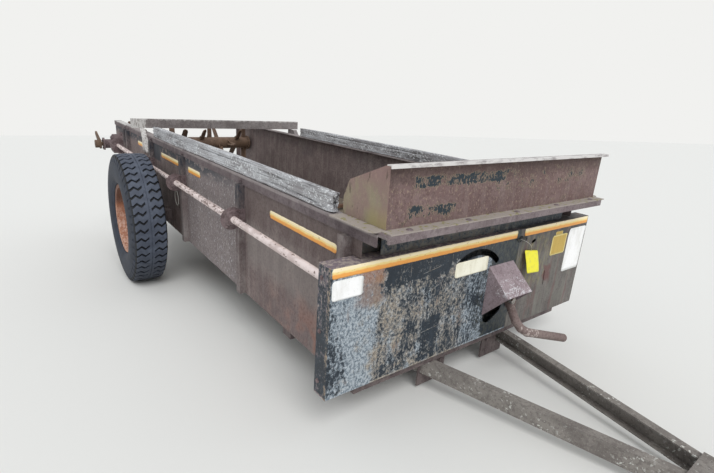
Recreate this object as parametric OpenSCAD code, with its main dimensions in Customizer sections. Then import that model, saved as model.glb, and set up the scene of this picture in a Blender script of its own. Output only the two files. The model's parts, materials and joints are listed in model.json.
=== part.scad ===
// Single-axle farm manure spreader, parked with its drawbar resting on the ground.
// Everything on the body is drawn square to the load floor: X across the machine (right side
// negative), Y along it (front negative), Z up from the floor frame. stance() then tips that
// drawing nose-down about the axle and stands it on the ground.

/* [Stance] */
// Nose-down angle of the body while the drawbar lies on the ground, degrees
pitch = 5; // [4.8:0.1:5.2]

/* [Box] */
// Half the width over the steel side panels
half_w = 760; // [740:5:790]
// Rear face of the front bulkhead, where the side panels start
box_front = 90; // [90:5:110]
// Rear end of the load floor and of the main sills
floor_rear = 4340; // [4320:10:4360]
// Rear end of the beater side plates and of the top rails
box_rear = 4800; // [4750:10:4850]
// Underside of the side panels
panel_bottom = -20; // [-30:5:-10]
// Top of the side panels, under the top rail's flange
panel_top = 670; // [660:5:690]
// Sheet thickness of panels, cover and hood
sheet = 4; // [3:0.5:6]
// Height of the wooden planks on the top rails
plank_h = 90; // [70:5:120]
// Thickness of the wooden planks
plank_t = 44; // [30:2:50]
// Front end of the planks
plank_front = 240; // [200:10:300]
// Rear end of the planks
plank_rear = 3070; // [2800:10:3100]

/* [Floor] */
// Height of the main sills
sill_h = 150; // [120:5:160]
// Flange width of the main sills
sill_w = 56; // [40:2:60]
// Depth of the floor cross members
cross_h = 70; // [50:5:75]
// Thickness of the floor boards
board_t = 38; // [30:2:45]
// Number of floor boards side by side
board_count = 8; // [6:1:10]
// Sideways place of each apron chain
chain_x = 540; // [450:10:600]
// Length of one link of the apron chains
link_pitch = 66.3; // [60:0.1:70]
// Spacing of the apron slats along the chains, in links
slat_links = 5; // [4:1:8]

/* [Front] */
// Half the width of the front cover
cover_half_w = 912; // [900:1:920]
// Height of the front cover
cover_h = 553; // [520:1:580]
// Depth of the front cover's returns
cover_d = 81; // [70:1:90]
// Sideways place of the seam between the cover's two sheets
cover_seam = 237; // [200:1:260]
// Height of the hood that raises the front of the box
hood_h = 241; // [220:1:260]
// How far the hood's face stands ahead of the cover
hood_out = 65; // [50:1:80]

/* [Wheels] */
// Outer radius of the tyres
tyre_r = 510; // [480:5:530]
// Section width of the tyres
tyre_w = 262; // [240:2:280]
// Width of the tread
tread_w = 214; // [190:2:225]
// Rim seat radius
rim_r = 254; // [240:1:260]
// Distance from the centreline to each wheel's middle plane
wheel_x = 1030; // [1020:5:1060]
// Place of the axle along the machine
axle_y = 2640; // [2600:5:2680]
// Height of the axle above the floor frame's datum
axle_z = 82; // [80:1:86]
// Side of the square axle beam
axle_s = 90; // [80:2:90]

/* [Drive] */
// Sideways place of the side drive shaft
shaft_x = -840; // [-850:1:-835]
// Height of the side drive shaft and of the beater
shaft_z = 450; // [440:1:460]
// Radius of the side drive shaft
shaft_r = 19; // [15:0.5:22]
// Sideways place of the power take-off stub
pto_x = 108; // [100:1:120]
// Height of the power take-off stub
pto_z = 232; // [226:1:238]
// Radius of the power take-off stub
pto_r = 17.5; // [15:0.5:22]

/* [Beater] */
// Place of the beater along the machine
beater_y = 4450; // [4440:5:4470]
// Radius of the beater's central tube
beater_tube_r = 70; // [50:5:90]
// Radius over the paddle tips
beater_tip_r = 245; // [200:5:250]
// Paddles along the beater
paddle_count = 13; // [9:2:17]
// Turn of each paddle's blade out of the beater's axis, degrees
paddle_skew = 24; // [0:1:30]
// Length of the crank arm on the beater's outer end
crank_arm = 240; // [150:5:260]

/* [Drawbar] */
// Half the distance between the drawbar rails under the cover
rail_half = 283; // [260:1:300]
// Angle of each drawbar rail to the centreline, degrees
rail_angle = 12.5; // [12:0.1:13]
// Height of the drawbar rails' middle under the cover
drawbar_z = -80; // [-84:1:-78]
// Depth of the drawbar rails
rail_h = 76; // [70:1:80]
// Distance from the cover to the hitch pin
hitch_reach = 1290; // [1250:5:1320]
// Radius of the hitch pin hole
hitch_pin_r = 16.5; // [12:0.5:20]

/* [Hidden] */
$fn = 64;
eps = 0.01;

// Sides of the machine
RIGHT = -1;
LEFT = 1;

// Heights that follow from the driving ones
sill_top = panel_bottom + sill_h;
floor_top = sill_top + board_t;
rail_t = 8;
rail_drop = 40;
rail_top = panel_top + rail_t;

// Stakes along each side, as the distance behind the cover's face
stake_w = 50;
stake_d = 35;
stakes_y = [115, 1124, 2190, 3090, 4060, 4200];

// The drawbar falls until the nose of its hitch touches the ground: its angle to the ground
// follows from the height of its root, and its rise from the body's own angle
hitch_nose_r = 58;
clevis_t = 12;
hitch_length = hitch_reach + hitch_nose_r;
hitch_half_h = rail_h / 2 + clevis_t;
root_height = tyre_r - axle_y * sin(pitch) + (drawbar_z - axle_z) * cos(pitch);
drawbar_fall = asin(root_height / norm([hitch_length, hitch_half_h])) - atan2(hitch_half_h, hitch_length);
rail_rise = pitch - drawbar_fall;

// Middle of the machine's length over the ground, which becomes the origin
function ground_y(y, z) = (y - axle_y) * cos(pitch) - (z - axle_z) * sin(pitch);
front_most = ground_y(0, drawbar_z) - hitch_length * cos(drawbar_fall) - hitch_half_h * sin(drawbar_fall);
mid_y = (front_most + ground_y(box_rear, panel_bottom)) / 2;

// Rust, paint and timber as the machine shows them
rust = "#6e5a58";
rust_dark = "#4c3f3c";
blue_black = "#2b3a42";
grey_wood = "#9a9892";
shaft_pink = "#d6c3c0";
tyre_black = "#2e3440";
rim_orange = "#b3643a";
pale_steel = "#8d8781";

module stance()
    translate([0, -mid_y, tyre_r]) rotate([pitch, 0, 0]) translate([0, -axle_y, -axle_z]) children();

// A block given by its lowest and highest corners
module block(low, high) translate(low) cube(high - low);

// A block on one side of the machine, given by its inner and outer distance from the centreline
module side_block(side, inner, outer, y0, y1, z0, z1)
    block([min(side * inner, side * outer), y0, z0], [max(side * inner, side * outer), y1, z1]);

// A round bar along X from x0 to x1
module bar_x(x0, x1, r, y, z) translate([x0, y, z]) rotate([0, 90, 0]) cylinder(h = x1 - x0, r = r);

// A round bar along Y from y0 to y1
module bar_y(x, y0, y1, r, z) translate([x, y0, z]) rotate([-90, 0, 0]) cylinder(h = y1 - y0, r = r);

// Main sill: a channel along the foot of one side, notched for the axle beam
module sill(side) stance() color(rust_dark) difference() {
    side_block(side, half_w - sheet - sill_w, half_w - sheet, box_front, floor_rear, panel_bottom, sill_top);
    side_block(side, half_w - sheet - sill_w - 1, half_w - sheet - 6, box_front - 1, floor_rear + 1,
        panel_bottom + 8, sill_top - 8);
    axle_block(0);
    apron_shaft_holes();
}

module axle_block(clear)
    block([-half_w - 100, axle_y - axle_s / 2 - clear, axle_z - axle_s / 2 - clear],
        [half_w + 100, axle_y + axle_s / 2 + clear, axle_z + axle_s / 2 + clear]);

// Floor cross members, channels that hang between the sills
cross_y = [320, 620, 1124, 1657, 2190, 2860, 3400, 4090];
cross_w = 46;
module floor_crossmembers() stance() color(rust_dark)
    for (y = cross_y) difference() {
        block([-half_w + sheet + 6, y, sill_top - cross_h], [half_w - sheet - 6, y + cross_w, sill_top]);
        block([-half_w, y + 6, sill_top - cross_h - 1], [half_w, y + cross_w + 1, sill_top - 6]);
        for (side = [RIGHT, LEFT])
            side_block(side, half_w - sheet - sill_w, half_w, y - 1, y + cross_w + 1, sill_top - 8, sill_top + 1);
    }

// Load floor: boards laid lengthwise on the cross members and sills
board_gap = 5;
floor_half = half_w - sheet - 2;
board_w = (2 * floor_half - (board_count - 1) * board_gap) / board_count;
module floor_boards() stance() color(grey_wood) difference() {
    for (i = [0 : board_count - 1])
        translate([-floor_half + i * (board_w + board_gap), apron_front + 5, sill_top])
            cube([board_w, apron_rear - apron_front - 10, board_t]);
    for (x = [-chain_x, chain_x], y = [apron_front, apron_rear - 110])
        block([x - 14, y, sill_top - 1], [x + 14, y + 110, floor_top + 1]);
}

// Apron: two chains over the floor, round a shaft at each end and back underneath
apron_front = 200;
apron_rear = floor_rear - 70;
apron_top = floor_top + 12;
apron_bottom = panel_bottom + 16;
apron_z = (apron_top + apron_bottom) / 2;
apron_r = (apron_top - apron_bottom) / 2;
apron_shaft_r = 20;
chain_t = 20;
chain_w = 36;

// The loop seen from the side, grown by d
module apron_outline(d) {
    for (y = [apron_front, apron_rear]) translate([y, apron_z]) circle(r = apron_r + d, $fn = 32);
    translate([apron_front, apron_z - apron_r - d]) square([apron_rear - apron_front, 2 * (apron_r + d)]);
}

// Each chain is a loop of plates with a window in every link of the run on the floor
first_link = apron_front + link_pitch;
last_link = apron_rear - link_pitch;
module apron_chains() stance() color(rust)
    for (x = [-chain_x, chain_x]) difference() {
        translate([x + chain_w / 2, 0, 0]) rotate([90, 0, -90]) mirror([1, 0, 0])
            linear_extrude(chain_w) difference() {
                apron_outline(chain_t / 2);
                apron_outline(8 - chain_t / 2);
            }
        for (y = [first_link : link_pitch : last_link])
            block([x - chain_w / 2 + 7, y - link_pitch / 2 + 9, apron_top - chain_t],
                [x + chain_w / 2 - 7, y + link_pitch / 2 - 9, apron_top + chain_t]);
    }

// Slats across both chains, on the load floor and on the run underneath: channels that lie with
// their open side on the chain
slat_h = 24;
slat_w = 44;
slat_t = 5;
slat_half = 640;
slat_step = link_pitch * slat_links;

module slat(y, z, turn) translate([-slat_half, y, z]) rotate([turn, 0, 0]) rotate([90, 0, 90])
    linear_extrude(2 * slat_half) difference() {
        translate([-slat_w / 2, 0]) square([slat_w, slat_h]);
        translate([-slat_w / 2 + slat_t, -1]) square([slat_w - 2 * slat_t, slat_h - slat_t + 1]);
    }

module apron_slats() stance() color(rust) {
    for (y = [first_link : slat_step : last_link]) slat(y, apron_top + chain_t / 2, 0);
    for (y = [first_link + slat_step / 2 : slat_step : last_link]) slat(y, apron_bottom - chain_t / 2, 180);
}

// Shafts at both ends of the apron, with the toothed wheels that the chains run round
wheel_teeth = 9;
wheel_tip_r = apron_r - 3;
wheel_root_r = apron_r - 18;

module tooth_outline() polygon([for (i = [0 : wheel_teeth - 1], corner = [[-13, 0], [-5, 1], [5, 1], [13, 0]])
    let (a = i * 360 / wheel_teeth + corner[0], r = corner[1] == 1 ? wheel_tip_r : wheel_root_r) [r * cos(a), r * sin(a)]]);

module apron_shafts() stance() color(rust_dark)
    for (y = [apron_front, apron_rear]) {
        bar_x(-half_w - 20, half_w + 20, apron_shaft_r, y, apron_z);
        for (x = [-chain_x, chain_x]) {
            translate([x - 8, y, apron_z]) rotate([90, 0, 90]) linear_extrude(16) tooth_outline();
            bar_x(x - 30, x + 30, apron_shaft_r + 14, y, apron_z);
        }
    }

module apron_shaft_holes()
    for (y = [apron_front, apron_rear]) bar_x(-half_w - 30, half_w + 30, apron_shaft_r + 0.5, y, apron_z);

// Side panel: one sheet from the bulkhead to the rear stake, with a tab that reaches forward over
// the cover
panel_tab = 30;
module side_panel(side) stance() color(rust) difference() {
    union() {
        side_block(side, half_w - sheet, half_w, box_front - sheet, floor_rear, panel_bottom, panel_top);
        side_block(side, half_w - sheet, half_w, panel_tab, box_front, cover_h + 3, panel_top);
    }
    axle_block(3);
    apron_shaft_holes();
}

// Stakes: channels that stiffen one side, open towards the panel
module stakes(side) stance() color(rust)
    for (y = stakes_y) difference() {
        side_block(side, half_w, half_w + stake_d, y - stake_w / 2, y + stake_w / 2, panel_bottom, panel_top - rail_drop);
        side_block(side, half_w - 1, half_w + stake_d - 5, y - stake_w / 2 + 5, y + stake_w / 2 - 5,
            panel_bottom - 1, panel_top - rail_drop - 5);
    }

// Top rail: an angle that caps one side, its wide leg under the plank
rail_front = -110;
rail_leg = 60;
rail_leg_front = -60;
module top_rail(side) stance() color(rust) {
    side_block(side, half_w, half_w + rail_t, rail_leg_front, box_rear, panel_top - rail_drop, rail_top);
    side_block(side, half_w - rail_leg, half_w, rail_front, box_rear, panel_top, rail_top);
}

module plank(side) stance() color(grey_wood)
    side_block(side, half_w - plank_t, half_w, plank_front, plank_rear, rail_top, rail_top + plank_h);

// Rear arch: a channel over the load, on two outside plates whose folded front edges slope forward
arch_y = 3400;
arch_half_w = 862;
arch_top = 804;
arch_post_t = 8;
arch_post = [[arch_y - 95, rail_top + 44], [arch_y + 25, rail_top + 44], [arch_y + 25, 500], [arch_y - 275, 530]];
arch_fold = [arch_post[0], arch_post[0] + [arch_post_t, 0], arch_post[3] + [arch_post_t, 0], arch_post[3]];
module rear_arch() stance() color(pale_steel) {
    difference() {
        block([-arch_half_w, arch_y - 25, rail_top + 44], [arch_half_w, arch_y + 25, arch_top]);
        block([-arch_half_w + 10, arch_y - 18, rail_top + 40], [arch_half_w - 10, arch_y + 18, arch_top - 7]);
    }
    for (side = [RIGHT, LEFT]) {
        post_x = side * (half_w + rail_t);
        translate([min(post_x, post_x + side * arch_post_t), 0, 0]) rotate([90, 0, 90])
            linear_extrude(arch_post_t) polygon(arch_post);
        translate([min(post_x + side * arch_post_t, post_x + side * 42), 0, 0]) rotate([90, 0, 90])
            linear_extrude(42 - arch_post_t) polygon(arch_fold);
    }
}

// Side plate that carries one end of the beater
plate_t = 6;
module beater_plate(side) stance() color(rust) difference() {
    union() {
        side_block(side, half_w - plate_t, half_w, floor_rear, box_rear, panel_bottom, panel_top);
        side_block(side, half_w - plate_t - 40, half_w - plate_t, box_rear - plate_t, box_rear, panel_bottom, panel_top);
    }
    bar_x(-half_w - 10, half_w + 10, 30, beater_y, shaft_z);
}

module bulkhead() stance() color(blue_black)
    block([-half_w + sheet, box_front - sheet, 0], [half_w - sheet, box_front, panel_top]);

strip_half = 662;
module front_top_strip() stance() color(blue_black)
    block([-strip_half, 30, cover_h], [strip_half, 34, rail_top]);

// Upper front beam: an angle across the rails' front ends, its short leg down, open at both ends
beam_out = -118;
beam_half = half_w;
beam_leg = 30;
beam_top = rail_top + rail_t;
beam_bottom = drawbar_z + rail_h / 2;
module front_beam_upper() stance() color(rust) {
    block([-beam_half, beam_out, beam_top - beam_leg], [beam_half, rail_front, beam_top]);
    block([-beam_half, rail_front, rail_top], [beam_half, box_front + 60, beam_top]);
}

module front_beam_lower() stance() color(rust_dark)
    block([-half_w + sheet, 20, beam_bottom], [half_w - sheet, box_front, 0]);

// Front hood: a sheet raised on the front beam, with a folded lip that overhangs both ends, sloped
// side gussets with a clipped rear corner, and a foot flange that turns round both front corners.
// It sits a little towards the left side.
hood_half = 750;
hood_shift = 18;
hood_back = 200;
hood_clip = 35;
hood_back_h = 74;
hood_side_h = 148;
hood_lip = 26;
hood_lip_h = 12;
hood_flange = 66;
hood_round = 32;
hood_lap = 18;
module hood_foot() {
    round_x = hood_half + hood_flange - hood_round;
    translate([-hood_half - hood_lap, beam_out]) square([2 * hood_half + hood_lap + 20, -hood_out - beam_out + sheet]);
    for (half = [0, 1]) mirror([half, 0]) {
        translate([round_x, -hood_out + hood_round]) circle(r = hood_round);
        translate([round_x, -hood_out + hood_round]) square([hood_round, hood_back + hood_out - hood_round]);
        translate([hood_half - hood_lap, -hood_out]) square([round_x - hood_half + hood_lap, hood_back + hood_out]);
    }
}

module front_hood() stance() color(rust) translate([hood_shift, 0, beam_top]) {
    linear_extrude(sheet) hood_foot();
    block([-hood_half, -hood_out, sheet], [hood_half, -hood_out + sheet, hood_h]);
    block([-hood_half - hood_lap, -hood_out - hood_lip, hood_h - sheet], [hood_half + hood_lap, -hood_out, hood_h]);
    block([-hood_half - hood_lap, -hood_out - hood_lip, hood_h - hood_lip_h],
        [hood_half + hood_lap, -hood_out - hood_lip + sheet, hood_h]);
    for (x = [-hood_half, hood_half - sheet])
        translate([x, 0, 0]) rotate([90, 0, 90]) linear_extrude(sheet)
            polygon([[-hood_out + sheet, sheet], [hood_back, sheet], [hood_back, hood_back_h],
                [hood_back - hood_clip, hood_side_h], [-hood_out + sheet, hood_h]]);
}

// Front cover: the drive guard across the whole front, in two sheets
slot_x = -90;
slot_z = 253;
slot_r = 229.5;
slot_w = 31;
// An arc slot from angle a0 to a1 with round ends
module ring_slot(a0, a1) translate([slot_x, 0, slot_z]) rotate([90, 0, 0]) linear_extrude(20, center = true) {
    difference() {
        intersection() {
            circle(r = slot_r + slot_w / 2);
            polygon([[0, 0], for (k = [0 : 3]) let (a = a0 + (a1 - a0) * k / 3) 400 * [cos(a), sin(a)]]);
        }
        circle(r = slot_r - slot_w / 2);
    }
    for (a = [a0, a1]) translate(slot_r * [cos(a), sin(a)]) circle(r = slot_w / 2 + 0.5);
}

// A straight slot through the cover's face, with round ends
module cover_hole(x, z, length, width, turn) translate([x, 0, z]) rotate([90, 0, 0])
    linear_extrude(20, center = true) rotate(turn) {
        square([length - width, width], center = true);
        for (end = [-1, 1]) translate([end * (length - width) / 2, 0]) circle(r = width / 2);
    }

module cover_box(x0, x1) difference() {
    block([x0, 0, 0], [x1, cover_d, cover_h]);
    block([x0 + (x0 < 0 ? sheet : -1), sheet, sheet], [x1 - (x1 > 800 ? sheet : -1), cover_d + 1, cover_h - sheet]);
}

module cover_main() stance() color(blue_black) difference() {
    cover_box(-cover_half_w, cover_seam - 1);
    ring_slot(46, 124);
    cover_hole(98, 136.5, 152, 90, 30);
    bar_y(pto_x, -10, 20, 45, pto_z);
}

// The left sheet has an oval hole near its top and a split
module cover_side() stance() color(rust) difference() {
    cover_box(cover_seam + 1, cover_half_w);
    cover_hole(370, 472, 38, 20, 20);
    cover_hole(543, 231, 88, 8, 95);
}

// Back plates that close the cover where it stands wider than the box
module cover_backs() stance() color(rust) difference() {
    for (side = [RIGHT, LEFT])
        side_block(side, half_w, cover_half_w - sheet, cover_d - sheet, cover_d, sheet, cover_h - sheet);
    bar_y(shaft_x, 0, 200, shaft_r + 6, shaft_z);
}

// Folded hood over the power take-off stub, open below
shield_half = 98;
module pto_shield() stance() color(rust) translate([pto_x + 5, 0, 0]) rotate([90, 0, 90]) {
    profile_out = [[0, 130], [0, 392], [-132, 272]];
    for (x = [-shield_half, shield_half - 3]) translate([0, 0, x]) linear_extrude(3) polygon(profile_out);
    translate([0, 0, -shield_half + 3]) linear_extrude(2 * shield_half - 6)
        polygon([[0, 392], [-132, 272], [-129, 269], [0, 387]]);
}

// Power take-off stub: six splines and a locking groove, with its bearing boss behind the cover
stub_out = -105;
spline_len = 72;
groove_at = 35;
spline_depth = 2.6;
module pto_stub() stance() color(pale_steel) difference() {
    union() {
        bar_y(pto_x, stub_out, box_front - sheet - 2, pto_r, pto_z);
        bar_y(pto_x, 10, 30, 32, pto_z);
    }
    for (i = [0 : 5]) translate([pto_x, 0, pto_z]) rotate([0, i * 60, 0])
        block([-4.5, stub_out - 1, pto_r - spline_depth], [4.5, stub_out + spline_len, pto_r + 1]);
    difference() {
        bar_y(pto_x, stub_out + groove_at, stub_out + groove_at + 8, pto_r + 1, pto_z);
        bar_y(pto_x, stub_out + groove_at - 1, stub_out + groove_at + 9, pto_r - spline_depth - 1, pto_z);
    }
}

// Flanged bearing of the stub on the bulkhead
module pto_bearing() stance() color(rust) difference() {
    bar_y(pto_x, 56, box_front - sheet, 60, pto_z);
    bar_y(pto_x, 0, 100, pto_r + 0.05, pto_z);
}

// Bent pipe below the shield: its root on the cover, its corner and its open end
pipe_r = 21;
pipe_wall = 4;
pipe_bend = 80;
arm_root = [172, -26, 203];
arm_corner = [87, -175, 105];
arm_end = [420, -236, 2];

// A round bar between any two points
module limb(a, b, r) {
    v = b - a;
    translate(a) rotate([0, acos(v[2] / norm(v)), atan2(v[1], v[0])]) cylinder(h = norm(v), r = r);
}

// A point of the bend: a quadratic curve that touches both legs at pipe_bend from the corner
function bend_point(t) =
    (1 - t) ^ 2 * (arm_corner - pipe_bend * (arm_corner - arm_root) / norm(arm_corner - arm_root))
    + 2 * t * (1 - t) * arm_corner
    + t ^ 2 * (arm_corner + pipe_bend * (arm_end - arm_corner) / norm(arm_end - arm_corner));

module pto_rest_arm() stance() color(rust) {
    line = [[arm_root[0], -1, arm_root[2]], arm_root, for (t = [0.15 : 0.35 : 0.85]) bend_point(t), arm_end];
    last = len(line) - 1;
    difference() {
        union() {
            for (i = [0 : last - 1]) limb(line[i], line[i + 1], pipe_r);
            for (i = [1 : last - 1]) translate(line[i]) sphere(r = pipe_r + 1);
        }
        limb(arm_corner + 0.6 * (arm_end - arm_corner), arm_end + 0.1 * (arm_end - arm_corner), pipe_r - pipe_wall);
    }
    block([arm_root[0] - 30, -6, arm_root[2] - 30], [arm_root[0] + 30, 0, arm_root[2] + 30]);
}

// The drawbar's own frame: origin under the cover's face, tipped up towards the hitch
module drawbar_frame() stance() translate([0, 0, drawbar_z]) rotate([-rail_rise, 0, 0]) children();

rail_len = 1150;
rail_back = 640;
channel_w = 40;
module drawbar_rail(side) drawbar_frame() color(rust_dark)
    translate([side * rail_half, 0, 0]) rotate([0, 0, side * -rail_angle]) difference() {
        block([-channel_w / 2, -rail_len, -rail_h / 2], [channel_w / 2, rail_back, rail_h / 2]);
        block([side < 0 ? -channel_w / 2 + 6 : -channel_w, -rail_len - 1, -rail_h / 2 + 7],
            [side < 0 ? channel_w : channel_w / 2 - 6, rail_back + 1, rail_h / 2 - 7]);
    }

module drawbar_brackets() stance() color(rust)
    for (side = [RIGHT, LEFT]) difference() {
        side_block(side, 150, 330, 60, 70, -190, beam_bottom);
        translate([side * rail_half, 0, drawbar_z]) rotate([0, 0, side * -rail_angle])
            block([-channel_w / 2 - 4, 0, -rail_h / 2 - 6], [channel_w / 2 + 4, 140, rail_h / 2 + 3]);
    }

module drawbar_crossbeam() stance() color(rust_dark)
    block([-half_w + 6, 560, beam_bottom - 560 * sin(rail_rise) + 1], [half_w - 6, 640, panel_bottom]);

// Hitch: two plates on the rails with one upright pin hole
module hitch_clevis() drawbar_frame() color(rust) difference() {
    for (z = [rail_h / 2, -rail_h / 2 - clevis_t]) translate([0, 0, z]) linear_extrude(clevis_t) hitch_outline();
    translate([0, -hitch_reach, -100]) cylinder(h = 200, r = hitch_pin_r);
}

module hitch_outline() {
    translate([0, -hitch_reach]) circle(r = hitch_nose_r);
    polygon([[-hitch_nose_r, -hitch_reach], [-88, -960], [88, -960], [hitch_nose_r, -hitch_reach]]);
}

// Axle: a square beam through the sills, with a spindle at each end
spindle_r = 25;
spindle_end = wheel_x + 34;
wheel_sides = 40;
module axle_beam() stance() color(rust_dark) {
    block([-880, axle_y - axle_s / 2, axle_z - axle_s / 2], [880, axle_y + axle_s / 2, axle_z + axle_s / 2]);
    bar_x(-spindle_end, spindle_end, spindle_r, axle_y, axle_z, $fn = wheel_sides);
    for (side = [RIGHT, LEFT])
        bar_x(min(side * 879, side * 904), max(side * 879, side * 904), spindle_r + 12, axle_y, axle_z);
}

// A wheel piece turned about the axle: children are drawn as half profiles, X the radius and
// Y the distance outwards from the wheel's middle plane
module wheel_turn(side)
    stance() translate([side * wheel_x, axle_y, axle_z]) rotate([0, side * 90, 0])
        rotate_extrude($fn = wheel_sides) children();

module tyre(side) wheel_turn(side) color(tyre_black) polygon([
    [rim_r + 0.5, -87], [rim_r + 20, -89], [rim_r + 26, -106], [rim_r + 90, -tyre_w / 2], [rim_r + 170, -tyre_w / 2 + 4],
    [tyre_r - 22, -tread_w / 2 - 4], [tyre_r - 4, -tread_w / 2 + 4], [tyre_r, 0], [tyre_r - 4, tread_w / 2 - 4],
    [tyre_r - 22, tread_w / 2 + 4], [rim_r + 170, tyre_w / 2 - 4], [rim_r + 90, tyre_w / 2], [rim_r + 26, 106],
    [rim_r + 20, 89], [rim_r + 0.5, 87], [rim_r + 60, 88], [tyre_r - 36, tread_w / 2 - 20], [tyre_r - 36, -tread_w / 2 + 20],
    [rim_r + 60, -88]]);

// Rim: a drop-centre band and a flat disc with round hand holes
disc_out = -42;
disc_t = 10;
disc_r = 196;
hand_holes = 5;
module rim(side) difference() {
    wheel_turn(side) color(rim_orange) polygon([
        [rim_r + 18, -100], [rim_r + 18, -91], [rim_r, -88], [rim_r, 88], [rim_r + 18, 91], [rim_r + 18, 100],
        [rim_r - 9, 96], [rim_r - 9, 10], [disc_r, disc_out + disc_t], [90, disc_out + disc_t], [90, disc_out],
        [disc_r, disc_out], [rim_r - 9, -4], [rim_r - 9, -96]]);
    for (i = [0 : hand_holes - 1]) stance() translate([side * wheel_x, axle_y, axle_z]) rotate([i * 360 / hand_holes, 0, 0])
        bar_x(-100, 100, 21, 0, 166);
}

// Hub on the spindle, with the flange that the wheel disc is bolted to
module hub(side) wheel_turn(side) color(rust) polygon([
    [spindle_r + 0.05, -120], [44, -120], [52, disc_out - 11], [130, disc_out - 9], [130, disc_out],
    [90 - eps, disc_out], [90 - eps, disc_out + disc_t + 3], [54, disc_out + disc_t + 5], [42, 20],
    [spindle_r + 0.05, 30]]);

// Side drive shaft, from inside the front cover to the beater gearbox
gearbox_front = beater_y - 175;
module side_shaft() stance() color(shaft_pink) bar_y(shaft_x, 20, gearbox_front + 40, shaft_r, shaft_z);

// Round flanged bearings on arms off the front faces of three stakes, and on the cover's back plate
bearing_y = [for (i = [1 : 3]) stakes_y[i] - stake_w / 2];
bearing_r = 64;
arm_t = 8;
module bearing_shell(y, face) translate([shaft_x, y, shaft_z]) rotate([90 * face, 0, 0]) rotate_extrude()
    polygon([[shaft_r + 0.05, 0], [bearing_r, 0], [bearing_r, 4], [47, 5], [42, 15], [30, 17], [30, 30], [shaft_r + 0.05, 30]]);

module shaft_bearings() stance() color(rust) {
    for (y = bearing_y) {
        difference() {
            union() {
                side_block(RIGHT, half_w, -shaft_x, y - arm_t, y, shaft_z - 46, shaft_z + 46);
                bar_y(shaft_x, y - arm_t, y, bearing_r - 6, shaft_z);
            }
            bar_y(shaft_x, y - 60, y + 60, shaft_r + 4, shaft_z);
        }
        bearing_shell(y - arm_t, 1);
    }
    difference() {
        bar_y(shaft_x, cover_d, cover_d + 22, 44, shaft_z);
        bar_y(shaft_x, 0, 200, shaft_r + 0.05, shaft_z);
    }
}

// Right-angle gearbox on the right side plate: housing, its input flange and its outboard neck
gear_in = half_w;
gear_out = 872;
neck_out = 958;
module beater_gearbox() stance() color(rust) difference() {
    union() {
        bar_x(-gear_in - 14, -gear_in, 125, beater_y, shaft_z);
        bar_x(-gear_out + 12, -gear_in - 13, 104, beater_y, shaft_z);
        bar_x(-gear_out, -gear_out + 13, 88, beater_y, shaft_z);
        bar_x(-neck_out + 14, -gear_out + 1, 48, beater_y, shaft_z);
        bar_x(-neck_out, -neck_out + 15, 66, beater_y, shaft_z);
        bar_y(shaft_x, gearbox_front + 13, beater_y - 60, 45, shaft_z);
        bar_y(shaft_x, gearbox_front, gearbox_front + 14, 76, shaft_z);
    }
    bar_x(-1100, 0, 22 + 0.05, beater_y, shaft_z);
    bar_y(shaft_x, gearbox_front - 1, gearbox_front + 44, shaft_r + 0.05, shaft_z);
}

module beater_bearing() stance() color(rust) difference() {
    union() {
        bar_x(half_w, half_w + 14, 75, beater_y, shaft_z);
        bar_x(half_w + 14, half_w + 46, 45, beater_y, shaft_z);
    }
    bar_x(0, 1100, 22 + 0.05, beater_y, shaft_z);
}

// Beater: a tube on a through shaft, with a crank outside the gearbox that drove the apron
crank_angle = 22;
crank_in = 978;
crank_t = 16;
module crank_outline() {
    circle(r = 52);
    rotate(crank_angle) {
        polygon([[0, -44], [crank_arm, -24], [crank_arm, 24], [0, 44]]);
        translate([crank_arm, 0]) circle(r = 24);
    }
}

module beater_shaft() stance() color(rust) {
    bar_x(-1035, half_w + 60, 22, beater_y, shaft_z);
    bar_x(-half_w + plate_t + 18, half_w - plate_t - 18, beater_tube_r, beater_y, shaft_z);
    for (side = [RIGHT, LEFT])
        bar_x(side * 716 - 10, side * 716 + 10, beater_tube_r + 16, beater_y, shaft_z);
    difference() {
        translate([-crank_in - crank_t, beater_y, shaft_z]) rotate([90, 0, 90]) linear_extrude(crank_t) crank_outline();
        translate([0, beater_y, shaft_z]) rotate([crank_angle, 0, 0])
            bar_x(-crank_in - crank_t - 1, -crank_in + 1, 11, crank_arm, 0);
    }
    bar_x(-1035, -crank_in - crank_t, 42, beater_y, shaft_z);
}

// Paddles in two spirals that start at the ends and meet in the middle. Each is a tapered blade
// with clipped tips, turned out of the axis so that it throws towards its own end, on a gusset foot.
paddle_t = 10;
paddle_foot = 34;
paddle_outline = [[-paddle_foot, 0], [paddle_foot, 0], [paddle_foot - 6, beater_tip_r - 28],
    [paddle_foot - 20, beater_tip_r], [20 - paddle_foot, beater_tip_r], [6 - paddle_foot, beater_tip_r - 28]];
gusset_outline = [[0, 0], [42, 0], [42, beater_tube_r + 6], [4, beater_tip_r - 75], [0, beater_tip_r - 75]];
module paddle() {
    rotate([90, 0, 0]) linear_extrude(paddle_t, center = true) polygon(paddle_outline);
    translate([-4, 0, 0]) rotate([90, 0, 90]) linear_extrude(8) polygon(gusset_outline);
}

module beater_paddles() stance() color(rust_dark) difference() {
    for (i = [0 : paddle_count - 1], turn = [0, 180]) {
        x = -670 + i * 1340 / (paddle_count - 1);
        spiral = 45 * min(i, paddle_count - 1 - i);
        translate([x, beater_y, shaft_z]) rotate([turn + spiral, 0, 0])
            rotate([0, 0, paddle_skew * sign(x)]) paddle();
    }
    bar_x(-half_w, half_w, beater_tube_r, beater_y, shaft_z);
}

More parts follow.
